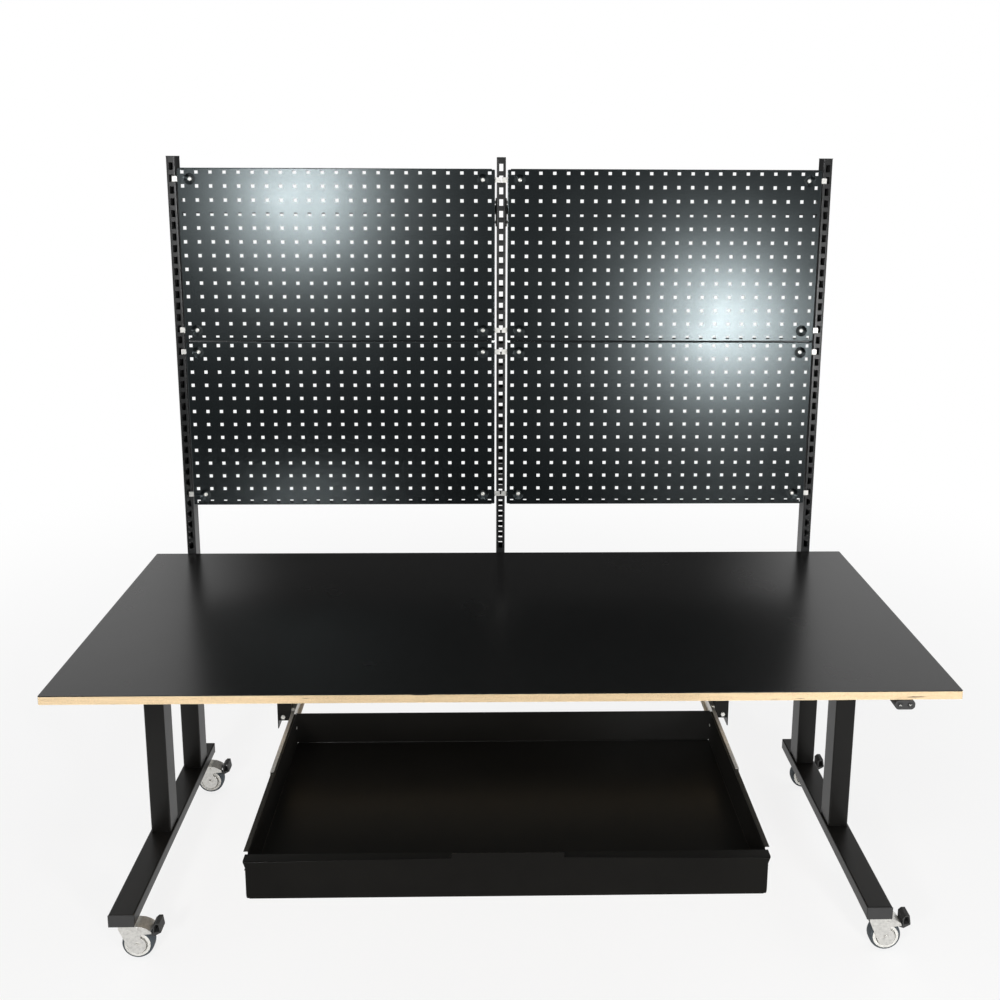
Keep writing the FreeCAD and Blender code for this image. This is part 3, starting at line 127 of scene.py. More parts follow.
class PanelShape(PropertyGroup):
    """Perforation, dimples and rim of one sheet panel."""

    hole_side: FloatProperty(
        name="Hole", description="Side of the square holes", unit="LENGTH",
        default=0.0094, min=0.004)
    hole_pitch: FloatProperty(
        name="Pitch", description="From hole to hole", unit="LENGTH", default=0.038, min=0.02)
    columns: IntProperty(name="Columns", description="Holes across a panel", default=23, min=3)
    rows: IntProperty(name="Rows", description="Holes up a panel", default=13, min=3)
    sheet: FloatProperty(
        name="Sheet", description="Thickness of the sheet", unit="LENGTH",
        default=0.0015, min=0.0005)
    bend_radius: FloatProperty(
        name="Bend", description="Outer radius of the folded rim", unit="LENGTH",
        default=0.002, min=0.0005)
    lip: FloatProperty(
        name="Lip", description="Upper and lower rim folded in again, from the panel's edge",
        unit="LENGTH", default=0.0075, min=0.004)
    relief: FloatProperty(
        name="Corner relief", description="Upper and lower rim stop short of the corners",
        unit="LENGTH", default=0.0085, min=0.001)
    notch_front: FloatProperty(
        name="Notch", description="Front of the rim's notches behind the panel's face",
        unit="LENGTH", default=0.0065, min=0.003)
    notch_depth: FloatProperty(
        name="Notch depth", description="Notches, front to rear", unit="LENGTH",
        default=0.003, min=0.001)
    notch_height: FloatProperty(
        name="Notch height", description="Notches for the hook brackets' strips", unit="LENGTH",
        default=0.0155, min=0.005)
    dimple_radius: FloatProperty(
        name="Dimple", description="Mouth of the dimples that sink the screws", unit="LENGTH",
        default=0.0155, min=0.008)
    dimple_floor: FloatProperty(
        name="Dimple floor", description="Flat floor of the dimples", unit="LENGTH",
        default=0.0065, min=0.002)
    dimple_depth: FloatProperty(
        name="Dimple depth", description="Depth of the dimples", unit="LENGTH",
        default=0.0055, min=0.001)
    dimple_side: FloatProperty(
        name="Dimple from side", description="Dimple's middle from the panel's side", unit="LENGTH",
        default=0.0335, min=0.02)
    dimple_end: FloatProperty(
        name="Dimple from end", description="Dimple's middle from the panel's upper or lower edge",
        unit="LENGTH", default=0.030, min=0.02)


class PostShape(PropertyGroup):
    """Section and slots of the upright posts."""

    wall: FloatProperty(
        name="Wall", description="Wall of the square tube", unit="LENGTH", default=0.002, min=0.001)
    corner: FloatProperty(
        name="Corner", description="Outer radius of the tube's corners", unit="LENGTH",
        default=0.003,
        min=0.0025)
    slot_width: FloatProperty(
        name="Slot width", description="Slots in the front and rear walls", unit="LENGTH",
        default=0.0115, min=0.004)
    slot_height: FloatProperty(
        name="Slot height", description="Slots in the front and rear walls", unit="LENGTH",
        default=0.020, min=0.004)
    slot_pitch: FloatProperty(
        name="Slot pitch", description="From slot to slot", unit="LENGTH", default=0.032, min=0.01)
    slot_first: FloatProperty(
        name="First slot", description="Middle of the first slot below the tube's upper end",
        unit="LENGTH", default=0.026, min=0.01)
    slots: IntProperty(name="Slots", description="Slots in a post", default=35, min=1)


class DrawerShape(PropertyGroup):
    """Folded sheet of the drawer."""

    sheet: FloatProperty(
        name="Sheet", description="Thickness of the drawer's sheet", unit="LENGTH", default=0.0012,
        min=0.0005)
    bend_radius: FloatProperty(
        name="Bend", description="Outer radius of the folds", unit="LENGTH",
        default=0.0026, min=0.0015)
    flare: FloatProperty(
        name="Flare", description="Front's upper ends beyond the tray, each side", unit="LENGTH",
        default=0.004, min=0)
    flare_height: FloatProperty(
        name="Flare height", description="Height of the flared ends", unit="LENGTH", default=0.013,
        min=0.002)
    chamfer: FloatProperty(
        name="Chamfer", description="Front's lower corners", unit="LENGTH", default=0.006, min=0)
    lip: FloatProperty(
        name="Lip", description="Front's upper edge, folded back", unit="LENGTH", default=0.019,
        min=0.005)
    side_return: FloatProperty(
        name="Return", description="Front's side flanges inside the tray", unit="LENGTH",
        default=0.018, min=0.004)
    tab_width: FloatProperty(
        name="Tab", description="Raised middle of the front", unit="LENGTH",
        default=0.197, min=0.02)
    tab_rise: FloatProperty(
        name="Tab height", description="Raised middle above the lip", unit="LENGTH", default=0.012,
        min=0.004)
    slit: FloatProperty(
        name="Slit", description="Lip's edge behind the tab", unit="LENGTH",
        default=0.0034, min=0.003)


class FastenerShape(PropertyGroup):
    """Domed socket screws of the panels and hangers."""

    head_radius: FloatProperty(
        name="Head", description="Radius of the domed heads", unit="LENGTH",
        default=0.00575, min=0.002)
    head_height: FloatProperty(
        name="Head height", description="Height of the domed heads", unit="LENGTH", default=0.0035,
        min=0.001)
    socket_radius: FloatProperty(
        name="Socket", description="Hexagonal socket over its corners", unit="LENGTH",
        default=0.0026,
        min=0.001)


class CasterShape(PropertyGroup):
    """Wheels of the casters."""

    tyre_radius: FloatProperty(
        name="Tyre", description="Radius of the tread", unit="LENGTH", default=0.0371, min=0.02)
    tyre_half_width: FloatProperty(
        name="Half tyre", description="Half the tyre's width", unit="LENGTH",
        default=0.014, min=0.005)
    rim_radius: FloatProperty(
        name="Rim", description="Radius of the rim under the tyre", unit="LENGTH", default=0.0305,
        min=0.01)
    rim_half_width: FloatProperty(
        name="Half rim", description="Half the rim's width", unit="LENGTH",
        default=0.015, min=0.005)
    ring_radius: FloatProperty(
        name="Ring inside", description="Inner radius of the rim's proud ring", unit="LENGTH",
        default=0.0235, min=0.01)
    bore_radius: FloatProperty(
        name="Bore", description="Bore for the axle bolt", unit="LENGTH", default=0.0041, min=0.002)


class StudioSettings(PropertyGroup):
    """Camera and lamps."""

    camera_place: FloatVectorProperty(
        name="Camera", description="Where the camera stands", subtype="TRANSLATION", size=3,
        default=(-0.033212, -2.229330, 1.835505))
    yaw: FloatProperty(
        name="Yaw", description="Camera turned to the right", subtype="ANGLE", default=0.01997)
    pitch: FloatProperty(
        name="Pitch", description="Camera tilted down", subtype="ANGLE", default=0.18049)
    roll: FloatProperty(
        name="Roll", description="Camera rolled", subtype="ANGLE", default=0.00413)
    lens: FloatProperty(name="Lens", description="Focal length in millimetres", default=36.6165)
    shift_x: FloatProperty(name="Shift X", description="Lens shift to the side", default=-0.009166)
    shift_y: FloatProperty(name="Shift Y", description="Lens shift upwards", default=-0.155565)
    left_power: FloatProperty(
        name="Left lamp", description="Soft lamp at the front left", unit="POWER", default=39)
    right_power: FloatProperty(
        name="Right lamp", description="Soft lamp at the front right", unit="POWER", default=46)
    top_power: FloatProperty(
        name="Top lamp", description="Large soft lamp overhead", unit="POWER", default=9)
    strip_power: FloatProperty(
        name="Strip lamp", description="Long narrow lamp above the front", unit="POWER", default=16)


class AssemblyTable(PropertyGroup):
    """Everything that can be set on the table."""

    colours: PointerProperty(type=FinishColours)
    panel: PointerProperty(type=PanelShape)
    post: PointerProperty(type=PostShape)
    drawer: PointerProperty(type=DrawerShape)
    fastener: PointerProperty(type=FastenerShape)
    caster: PointerProperty(type=CasterShape)
    studio: PointerProperty(type=StudioSettings)


def table_settings():
    return bpy.context.scene.assembly_table


# Finishes

class Finish:
    """A node material in the making, with short calls for the nodes that it uses."""

    def __init__(self, name, colour, roughness, metallic=0.0, specular=0.5):
        self.material = bpy.data.materials.new(name)
        self.material.use_nodes = True
        self.tree = self.material.node_tree
        self.shader = self.tree.nodes["Principled BSDF"]
        self.set(self.shader, "Base Color", (*colour, 1.0))
        self.set(self.shader, "Roughness", roughness)
        self.set(self.shader, "Metallic", metallic)
        self.set(self.shader, "Specular IOR Level", specular)
        self.places = self.tree.nodes.new("ShaderNodeTexCoord").outputs["Object"]

    def set(self, node, socket, value):
        """Puts a value on a socket, or links another node's output to it."""
        if isinstance(value, bpy.types.NodeSocket):
            self.tree.links.new(value, node.inputs[socket])
        else:
            node.inputs[socket].default_value = value

    def node(self, kind, settings=None, **sockets):
        node = self.tree.nodes.new("ShaderNode" + kind)
        for name, value in (settings or {}).items():
            setattr(node, name, value)
        for name, value in sockets.items():
            self.set(node, name.replace("_", " "), value)
        return node

    def stretched(self, scale):
        """Object coordinates stretched by a scale along each axis."""
        mapping = self.node("Mapping", {"vector_type": "POINT"}, Vector=self.places)
        mapping.inputs["Scale"].default_value = scale
        return mapping.outputs["Vector"]

    def noise(self, scale, detail=2.0, rough=0.5, stretch=None):
        """Noise with about scale bumps per metre."""
        places = self.stretched(stretch) if stretch else self.places
        noise = self.node("TexNoise", {"noise_dimensions": "3D"}, Vector=places, Scale=scale,
                          Detail=detail, Roughness=rough)
        return noise.outputs["Fac"]

    def height_of_object(self):
        split = self.node("SeparateXYZ", None, Vector=self.places)
        return split.outputs["Z"]

    def ramp(self, factor, stops):
        """A colour ramp: stops are (place, colour) pairs."""
        ramp = self.node("ValToRGB", None, Fac=factor)
        band = ramp.color_ramp
        while len(band.elements) < len(stops):
            band.elements.new(0.5)
        for element, (place, colour) in zip(band.elements, stops):
            element.position = place
            element.color = (*colour, 1.0)
        return ramp.outputs["Color"]

    def spread(self, factor, low, high, from_low=0.0, from_high=1.0):
        """A factor mapped to the range from low to high."""
        node = self.node("MapRange", {"clamp": True}, Value=factor)
        node.inputs["From Min"].default_value = from_low
        node.inputs["From Max"].default_value = from_high
        node.inputs["To Min"].default_value = low
        node.inputs["To Max"].default_value = high
        return node.outputs["Result"]

    def blended(self, factor, first, second):
        """Two colours blended by a factor."""
        node = self.node("Mix", {"data_type": "RGBA"})
        for index, value in ((0, factor), (6, first), (7, second)):
            if isinstance(value, bpy.types.NodeSocket):
                self.tree.links.new(value, node.inputs[index])
            elif index == 0:
                node.inputs[index].default_value = value
            else:
                node.inputs[index].default_value = (*value, 1.0)
        return node.outputs[2]

    def sum_of(self, first, second, share):
        """The first height plus a share of the second."""
        part = self.node("Math", {"operation": "MULTIPLY"})
        self.set(part, 0, second)
        part.inputs[1].default_value = share
        whole = self.node("Math", {"operation": "ADD"})
        self.set(whole, 0, first)
        self.set(whole, 1, part.outputs[0])
        return whole.outputs[0]

    def bump(self, height, depth, strength=1.0):
        """Relief of the given depth in metres."""
        node = self.node("Bump", None, Height=height, Distance=depth, Strength=strength)
        self.set(self.shader, "Normal", node.outputs["Normal"])

    def colour(self, value):
        self.set(self.shader, "Base Color", value)

    def roughness(self, value):
        self.set(self.shader, "Roughness", value)


def shade_of(colour, factor):
    """A colour made lighter or darker."""
    return tuple(min(1.0, channel * factor) for channel in colour)


def powder_coat(name, colour, roughness, specular=0.5, peel_depth=0.00008,
                painted_light_tint=(1.0, 1.0, 1.0)):
    """Fine-textured powder coat: orange peel, faint clouding and slightly uneven gloss."""
    finish = Finish(name, colour, roughness, specular=specular)
    # Specular Tint colours the coat's reflections: a tint other than white is painted light, the
    # light's colour put into the coat
    finish.set(finish.shader, "Specular Tint", (*painted_light_tint, 1.0))
    cloud = finish.noise(9.0, 3.0, 0.6)
    finish.colour(finish.ramp(cloud, [(0.3, shade_of(colour, 0.86)),
                                      (0.7, shade_of(colour, 1.16))]))
    uneven = finish.noise(7.0, 3.0, 0.5)
    finish.roughness(finish.spread(uneven, roughness - 0.012, roughness + 0.012, 0.3, 0.7))
    peel = finish.noise(420.0)
    grain = finish.noise(1500.0, 1.0, 0.5)
    finish.bump(finish.sum_of(peel, grain, 0.35), peel_depth, 0.5)
    return finish.material


def zinc_plate(name, colour, roughness=0.40, metallic=0.8):
    """Zinc-plated steel: dull silver with a cloudy spangle and fine rolling marks."""
    finish = Finish(name, colour, roughness, metallic=metallic)
    cloud = finish.noise(140.0, 4.0, 0.65)
    finish.colour(finish.ramp(cloud, [(0.25, shade_of(colour, 0.78)), (0.5, colour),
                                      (0.8, shade_of(colour, 1.18))]))
    uneven = finish.noise(320.0, 3.0, 0.6)
    finish.roughness(finish.spread(uneven, roughness - 0.08, roughness + 0.10))
    finish.bump(finish.noise(900.0, stretch=(1.0, 6.0, 1.0)), 0.00004, 0.5)
    return finish.material


def moulded_plastic(name, colour, roughness=0.5, specular=0.45):
    """Moulded plastic with a spark-eroded surface."""
    finish = Finish(name, colour, roughness, specular=specular)
    finish.colour(finish.ramp(finish.noise(60.0),
                              [(0.3, shade_of(colour, 0.88)), (0.7, shade_of(colour, 1.12))]))
    uneven = finish.noise(700.0)
    finish.roughness(finish.spread(uneven, roughness - 0.06, roughness + 0.07))
    finish.bump(finish.noise(1800.0, 2.0, 0.6), 0.00006, 0.6)
    return finish.material


def tread_rubber(name, colour):
    """Soft rubber with dust in its pores."""
    finish = Finish(name, colour, 0.7, specular=0.35)
    dust = finish.noise(260.0, 5.0, 0.7)
    finish.colour(finish.ramp(dust, [(0.35, shade_of(colour, 0.8)), (0.62, colour),
                                     (0.8, shade_of(colour, 1.9))]))
    finish.roughness(finish.spread(dust, 0.6, 0.85))
    finish.bump(finish.noise(1100.0, 3.0, 0.6), 0.0001, 0.6)
    return finish.material


def satin_laminate(name, colour):
    """Black laminate with a fine pressed texture and a trace of dust."""
    finish = Finish(name, colour, 0.26, specular=0.5)
    dust = finish.noise(38.0, 5.0, 0.62)
    finish.colour(finish.ramp(dust, [(0.35, shade_of(colour, 0.9)), (0.75, shade_of(colour, 1.3))]))
    finish.roughness(finish.spread(finish.noise(5.0, 3.0, 0.5), 0.25, 0.275, 0.3, 0.7))
    finish.bump(finish.sum_of(finish.noise(850.0), finish.noise(2200.0, 1.0, 0.5), 0.4),
                0.00003, 0.4)
    return finish.material


def plywood_edge(name, long_grain, end_grain, low, high, plies=13):
    """Plies seen on the edge: pale long grain between darker, pricked end grain."""
    finish = Finish(name, long_grain, 0.5, specular=0.35)
    wander = finish.noise(7.0, stretch=(1.0, 1.0, 0.1))
    level = finish.spread(finish.height_of_object(), 0.0, plies / 2.0, low, high)
    wavy = finish.sum_of(level, finish.spread(wander, -0.5, 0.5, 0.2, 0.8), 0.12)
    phase = finish.node("Math", {"operation": "FRACT"})
    finish.set(phase, 0, wavy)
    ply = finish.ramp(phase.outputs[0], [(0.0, (0, 0, 0)), (0.06, (1, 1, 1)), (0.5, (1, 1, 1)),
                                         (0.56, (0, 0, 0)), (1.0, (0, 0, 0))])
    streak = finish.noise(60.0, 5.0, 0.7, stretch=(0.35, 0.35, 9.0))
    fine = finish.noise(900.0, 3.0, 0.7)
    pale = finish.ramp(streak, [(0.3, shade_of(long_grain, 0.82)), (0.6, long_grain),
                                (0.85, shade_of(long_grain, 1.15))])
    pores = finish.ramp(fine, [(0.36, shade_of(end_grain, 0.45)), (0.5, end_grain),
                               (0.8, shade_of(end_grain, 1.3))])
    wood = finish.blended(ply, pores, pale)
    knots = finish.noise(11.0, 1.0, 0.4, stretch=(1.0, 1.0, 14.0))
    void = finish.ramp(knots, [(0.0, (0, 0, 0)), (0.73, (0, 0, 0)), (0.77, (1, 1, 1)),
                               (1.0, (1, 1, 1))])
    finish.colour(finish.blended(void, wood, (0.05, 0.045, 0.04)))
    finish.roughness(finish.spread(fine, 0.42, 0.6))
    finish.bump(finish.sum_of(fine, ply, 0.5), 0.00012, 0.6)
    return finish.material


def finish_named(name):
    """Makes a finish the first time that it is asked for."""
    made = bpy.data.materials.get(name)
    if made:
        return made
    colours = table_settings().colours
    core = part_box("worktop_core")
    makers = {
        "frame_coat": lambda: powder_coat(name, colours.coat, 0.38, 0.26),
        "post_coat": lambda: powder_coat(name, colours.post, 0.32),
        # The panels' reflections are tinted bluish: painted colour of bluish light, not a colour of
        # the coat
        "panel_coat": lambda: powder_coat(name, colours.panel, 0.25, 0.5, 0.00003,
                                          (0.84, 0.97, 1.0)),
        "drawer_coat": lambda: powder_coat(name, colours.coat, 0.32, 0.24, 0.00004),
        "work_laminate": lambda: satin_laminate(name, colours.surface),
        "worktop_plywood": lambda: plywood_edge(name, colours.plywood, colours.plywood_end,
                                                core[0][2], core[1][2]),
        "zinc": lambda: zinc_plate(name, colours.zinc),
        # Screw heads and rivets: the zinc made lighter and less metallic, a painted highlight
        # standing for the lamps' glints on their small domes
        "screw_zinc_painted_glint": lambda: zinc_plate(name, shade_of(colours.zinc, 1.3), 0.34, 0.6),
        "dark_zinc": lambda: zinc_plate(name, colours.dark_zinc, 0.42),
        "black_plastic": lambda: moulded_plastic(name, colours.plastic),
        "key_plastic": lambda: moulded_plastic(name, shade_of(colours.plastic, 1.6), 0.4),
        "mark_paint": lambda: moulded_plastic(name, (0.55, 0.55, 0.52), 0.5),
        "rim_plastic": lambda: moulded_plastic(name, colours.rim, 0.35, 0.5),
        "tyre_rubber": lambda: tread_rubber(name, colours.tread),
    }
    return makers[name]()


# Mesh helpers

def node_of(name):
    return frame["nodes"][name]


def body_of(node):
    """The body that carries a node."""
    for body, members in frame["record"]["behaviour"]["bodies"].items():
        if node in members:
            return body
    raise ValueError("no body carries " + node)


def finish_nodes(material_name, nodes, edge=0.0, segments=2):
    """Gives solid parts a finish and, where edge isn't 0, softly rounded edges."""
    for name in nodes:
        part = node_of(name)
        part.data.materials.clear()
        part.data.materials.append(finish_named(material_name))
        if edge:
            soften(part, edge, segments)


def soften(part, width, segments):
    """Joins the facets of a solid part and rounds its sharp edges."""
    weld = part.modifiers.new("join", "WELD")
    weld.merge_threshold = WELD_GAP
    rounding = part.modifiers.new("edges", "BEVEL")
    rounding.width = width
    rounding.segments = segments
    rounding.limit_method = "ANGLE"
    rounding.angle_limit = math.radians(ROUNDED_ANGLE)
    rounding.use_clamp_overlap = True
    keep_flat(part)
    part.data.shade_smooth()


def keep_flat(piece):
    """Lets large faces shade flat beside rounded edges."""
    flat = piece.modifiers.new("flat_faces", "WEIGHTED_NORMAL")
    flat.keep_sharp = True


def new_piece(name, mesh, body, material_name, slot, *replaced):
    """Puts a finished mesh into the scene on its body."""
    data = bpy.data.meshes.new(name)
    mesh.normal_update()
    mesh.to_mesh(data)
    mesh.free()
    data.materials.append(finish_named(material_name))
    piece = bpy.data.objects.new(name, data)
    bpy.context.scene.collection.objects.link(piece)
    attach(piece, body)
    if replaced:
        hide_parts(*replaced)
    return piece


def smooth_by_angle(piece, degrees):
    """Smooth shading that keeps edges sharper than the angle and large faces flat."""
    piece.data.shade_smooth()
    for edge in piece.data.edges:
        edge.use_edge_sharp = False
    mesh = bmesh.new()
    mesh.from_mesh(piece.data)
    for edge in mesh.edges:
        if len(edge.link_faces) == 2 and edge.calc_face_angle(0) > math.radians(degrees):
            edge.smooth = False
    mesh.to_mesh(piece.data)
    mesh.free()
    keep_flat(piece)


def ring_of_points(mesh, centre, axis, radius, height, sides):
    """A ring of vertices about an axis, height along it from the centre."""
    helper = X_AXIS if abs(axis.dot(X_AXIS)) < 0.9 else Y_AXIS
    across = axis.cross(helper).normalized()
    up = axis.cross(across)
    points = []
    for step in range(sides):
        angle = 2 * math.pi * step / sides
        offset = across * math.cos(angle) + up * math.sin(angle)
        points.append(mesh.verts.new(centre + axis * height + offset * radius))
    return points


def bridge(mesh, first, second, closed=True):
    """Quads between two rows of vertices of the same length."""
    count = len(first)
    last = count if closed else count - 1
    for index in range(last):
        following = (index + 1) % count
        mesh.faces.new((first[index], first[following], second[following], second[index]))


def add_rings(mesh, centre, axis, profile, sides):
    """Rings of faces about an axis: profile holds (radius, height) pairs from start to end."""
    rings = [ring_of_points(mesh, centre, axis, radius, height, sides)
             for radius, height in profile]
    for first, second in zip(rings, rings[1:]):
        bridge(mesh, first, second)
    return rings


def turned_mesh(centre, axis, half_profile, sides):
    """A turned shape, closed and the same on both sides of its middle plane."""
    mesh = bmesh.new()
    profile = half_profile + [(radius, -place) for radius, place in reversed(half_profile)]
    rings = add_rings(mesh, centre, axis, profile, sides)
    bridge(mesh, rings[-1], rings[0])
    return mesh


def add_domed_screw(mesh, centre, axis, shape):
    """A domed head with a hexagonal socket, seated at the centre and standing up along the axis."""
    height = shape.head_height
    socket = shape.socket_radius
    profile = [(shape.head_radius * across, height * up) for across, up in SCREW_DOME]
    rings = add_rings(mesh, centre, axis, profile, SCREW_SIDES)
    mouth = hexagon_points(mesh, centre, axis, socket, height, SCREW_SIDES)
    floor = hexagon_points(mesh, centre, axis, socket * 0.92, height * 0.35, SCREW_SIDES)
    bridge(mesh, rings[-1], mouth)
    bridge(mesh, mouth, floor)
    mesh.faces.new(floor)


def hexagon_points(mesh, centre, axis, radius, height, sides):
    """A hexagon drawn with as many points as the ring round it."""
    points = ring_of_points(mesh, centre, axis, 1.0, height, sides)
    middle = centre + axis * height
    for step, point in enumerate(points):
        angle = 2 * math.pi * step / sides
        within = (angle % (math.pi / 3)) - math.pi / 6
        reach = radius * math.cos(math.pi / 6) / math.cos(within)
        point.co = middle + (point.co - middle) * reach
    return points


# The perforated panels

def dimple_centres(low, high, shape):
    """Where the four dimples of a panel between two corners stand."""
    return [(x, z) for x in (low[0] + shape.dimple_side, high[0] - shape.dimple_side)
            for z in (low[2] + shape.dimple_end, high[2] - shape.dimple_end)]


class PanelMaker:
    """Builds one perforated panel: sheet with square holes, dimples and a folded rim."""

    def __init__(self, node, shape):
        low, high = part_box(node)
        self.shape = shape
        self.low = low
        self.high = high
        self.front = low[1]
        self.mid_x = (low[0] + high[0]) / 2
        self.mid_z = (low[2] + high[2]) / 2
        self.mesh = bmesh.new()
        self.cache = {}

    def lines(self, middle, count, low, high):
        """Where the hole edges cut the sheet along one direction."""
        half = self.shape.hole_side / 2
        first = middle - self.shape.hole_pitch * (count - 1) / 2
        cuts = [low + self.shape.bend_radius]
        for index in range(count):
            place = first + index * self.shape.hole_pitch
            cuts += [place - half, place + half]
        cuts.append(high - self.shape.bend_radius)
        return cuts

    def point(self, x, z, y):
        key = (round(x, 7), round(z, 7), round(y, 7))
        if key not in self.cache:
            self.cache[key] = self.mesh.verts.new((x, y, z))
        return self.cache[key]

    def quad(self, corners):
        self.mesh.faces.new([self.point(*corner) for corner in corners])

    def build(self):
        xs = self.lines(self.mid_x, self.shape.columns, self.low[0], self.high[0])
        zs = self.lines(self.mid_z, self.shape.rows, self.low[2], self.high[2])
        skipped = self.dimple_cells(xs, zs)
        back = self.front + self.shape.sheet
        for i in range(len(xs) - 1):
            for j in range(len(zs) - 1):
                x0, x1, z0, z1 = xs[i], xs[i + 1], zs[j], zs[j + 1]
                if i % 2 and j % 2:
                    self.hole_walls(x0, x1, z0, z1, self.front, back)
                elif (i, j) not in skipped:
                    self.quad([(x0, z0, self.front), (x1, z0, self.front),
                               (x1, z1, self.front), (x0, z1, self.front)])
                    self.quad([(x0, z0, back), (x0, z1, back), (x1, z1, back), (x1, z0, back)])
        for centre_x, centre_z in dimple_centres(self.low, self.high, self.shape):
            self.dimple(centre_x, centre_z)
        self.rim(back)
        return self.mesh

    def dimple_cells(self, xs, zs):
        """The cells of the sheet that the four dimples take."""
        skipped = set()
        for i in (2, len(xs) - 4):
            for j in (2, len(zs) - 4):
                skipped |= {(i, j), (i - 1, j), (i + 1, j), (i, j - 1), (i, j + 1)}
        return skipped

    def hole_walls(self, x0, x1, z0, z1, front, back):
        corners = [(x0, z0), (x1, z0), (x1, z1), (x0, z1)]
        for (ax, az), (bx, bz) in zip(corners, corners[1:] + corners[:1]):
            self.quad([(ax, az, front), (ax, az, back), (bx, bz, back), (bx, bz, front)])

    def dimple(self, centre_x, centre_z):
        """A pressed dimple in the cross of sheet between four holes."""
        shape = self.shape
        near = (shape.hole_pitch - shape.hole_side) / 2
        far = near + shape.hole_side
        turns = [2 * math.pi * step / DIMPLE_SIDES for step in range(DIMPLE_SIDES)]
        for across, along in ((far, near), (near, far)):
            corner = math.atan2(along, across)
            turns += [corner, math.pi - corner, math.pi + corner, 2 * math.pi - corner]
        turns = sorted(set(round(turn, 6) for turn in turns))
        slope = (shape.dimple_radius - shape.dimple_floor) / shape.dimple_depth
        press = [(shape.dimple_radius + 0.0004, 0.0), (shape.dimple_radius, 0.0001),
                 (shape.dimple_radius - 0.0006, 0.0005),
                 (shape.dimple_floor + 0.0006 * slope, shape.dimple_depth - 0.0004),
                 (shape.dimple_floor, shape.dimple_depth),
                 (shape.dimple_floor * 0.4, shape.dimple_depth)]
        for surface, swell in ((self.front, 0.0), (self.front + shape.sheet, shape.sheet * 0.5)):
            rows = [[self.cross_edge(centre_x, centre_z, turn, near, far, surface)
                     for turn in turns]]
            for radius, depth in press:
                rows.append([self.mesh.verts.new((centre_x + (radius + swell) * math.cos(turn),
                                                  surface + depth,
                                                  centre_z + (radius + swell) * math.sin(turn)))
                             for turn in turns])
            if surface > self.front:
                rows = [list(reversed(row)) for row in rows]
            for first, second in zip(rows, rows[1:]):
                bridge(self.mesh, first, second)
            self.mesh.faces.new(rows[-1])

    def cross_edge(self, centre_x, centre_z, turn, near, far, surface):
        """Where a ray from the dimple's middle leaves the cross of sheet."""
        c, s = abs(math.cos(turn)), abs(math.sin(turn))
        reach = 0.0
        for across, along in ((far, near), (near, far)):
            limits = [across / c if c > 1e-9 else 1.0, along / s if s > 1e-9 else 1.0]
            reach = max(reach, min(limits))
        return self.mesh.verts.new((centre_x + reach * math.cos(turn), surface,
                                    centre_z + reach * math.sin(turn)))

    def rim(self, back):
        """The sheet's own edge and the four strips that are folded back from it."""
        shape = self.shape
        bend = shape.bend_radius
        low, high = self.low, self.high
        self.hole_walls(high[0] - bend, low[0] + bend, low[2] + bend, high[2] - bend,
                        self.front, back)
        depth = high[1] - low[1]
        arc = [(bend * (1 - math.sin(turn)), bend * (1 - math.cos(turn)))
               for turn in (math.pi / 2 * step / BEND_STEPS for step in range(BEND_STEPS + 1))]
        inner_fold = [(shape.sheet, bend), (bend, shape.sheet)]
        lipped = arc + [(inset, depth - y) for inset, y in reversed(arc)]
        lipped += [(shape.lip, depth), (shape.lip, depth - shape.sheet),
                   (bend, depth - shape.sheet), (shape.sheet, depth - bend)] + inner_fold
        for z, sign in ((high[2], -1), (low[2], 1)):
            self.strip(lipped, lambda inset, y, x: (x, self.front + y, z + sign * inset),
                       low[0] + shape.relief, high[0] - shape.relief)
        notch_back = shape.notch_front + shape.notch_depth
        whole = arc + [(0.0, depth), (shape.sheet, depth)] + inner_fold
        before = arc + [(0.0, shape.notch_front), (shape.sheet, shape.notch_front)] + inner_fold
        behind = [(0.0, notch_back), (0.0, depth), (shape.sheet, depth), (shape.sheet, notch_back)]
        cuts = [low[2] + shape.relief / 3]
        for middle in (low[2] + shape.dimple_end, high[2] - shape.dimple_end):
            cuts += [middle - shape.notch_height / 2, middle + shape.notch_height / 2]
        cuts.append(high[2] - shape.relief / 3)
        for x, sign in ((low[0], 1), (high[0], -1)):
            for index, (lower, upper) in enumerate(zip(cuts, cuts[1:])):
                for outline in ((before, behind) if index % 2 else (whole,)):
                    self.strip(outline, lambda inset, y, z: (x + sign * inset, self.front + y, z),
                               lower, upper)

    def strip(self, outline, place, start, end):
        """A folded strip of the rim with this outline, from start to end."""
        first = [self.mesh.verts.new(place(inset, y, start)) for inset, y in outline]
        second = [self.mesh.verts.new(place(inset, y, end)) for inset, y in outline]
        before = len(self.mesh.faces)
        bridge(self.mesh, first, second)
        self.mesh.faces.new(first)
        self.mesh.faces.new(second)
        self.mesh.faces.ensure_lookup_table()
        bmesh.ops.recalc_face_normals(self.mesh, faces=self.mesh.faces[before:])


# The slotted posts

def post_section(half_x, half_y, radius, slot_half):
    """Outline of the post's tube, round its corners, with points at the slots' sides."""
    points = []
    for quarter in range(4):
        turned = quarter % 2
        reach, side = (half_y, half_x) if turned else (half_x, half_y)
        along = [-(reach - radius), reach - radius]
        if not turned:
            along[1:1] = [-slot_half, slot_half]
        flat = [(place, -side) for place in along]
        curve = [(reach - radius + radius * math.sin(turn), -side + radius * (1 - math.cos(turn)))
                 for turn in (math.pi / 2 * step / BEND_STEPS for step in range(1, BEND_STEPS))]
        for x, y in flat + curve:
            for _ in range(quarter):
                x, y = -y, x
            points.append((x, y))
    return points


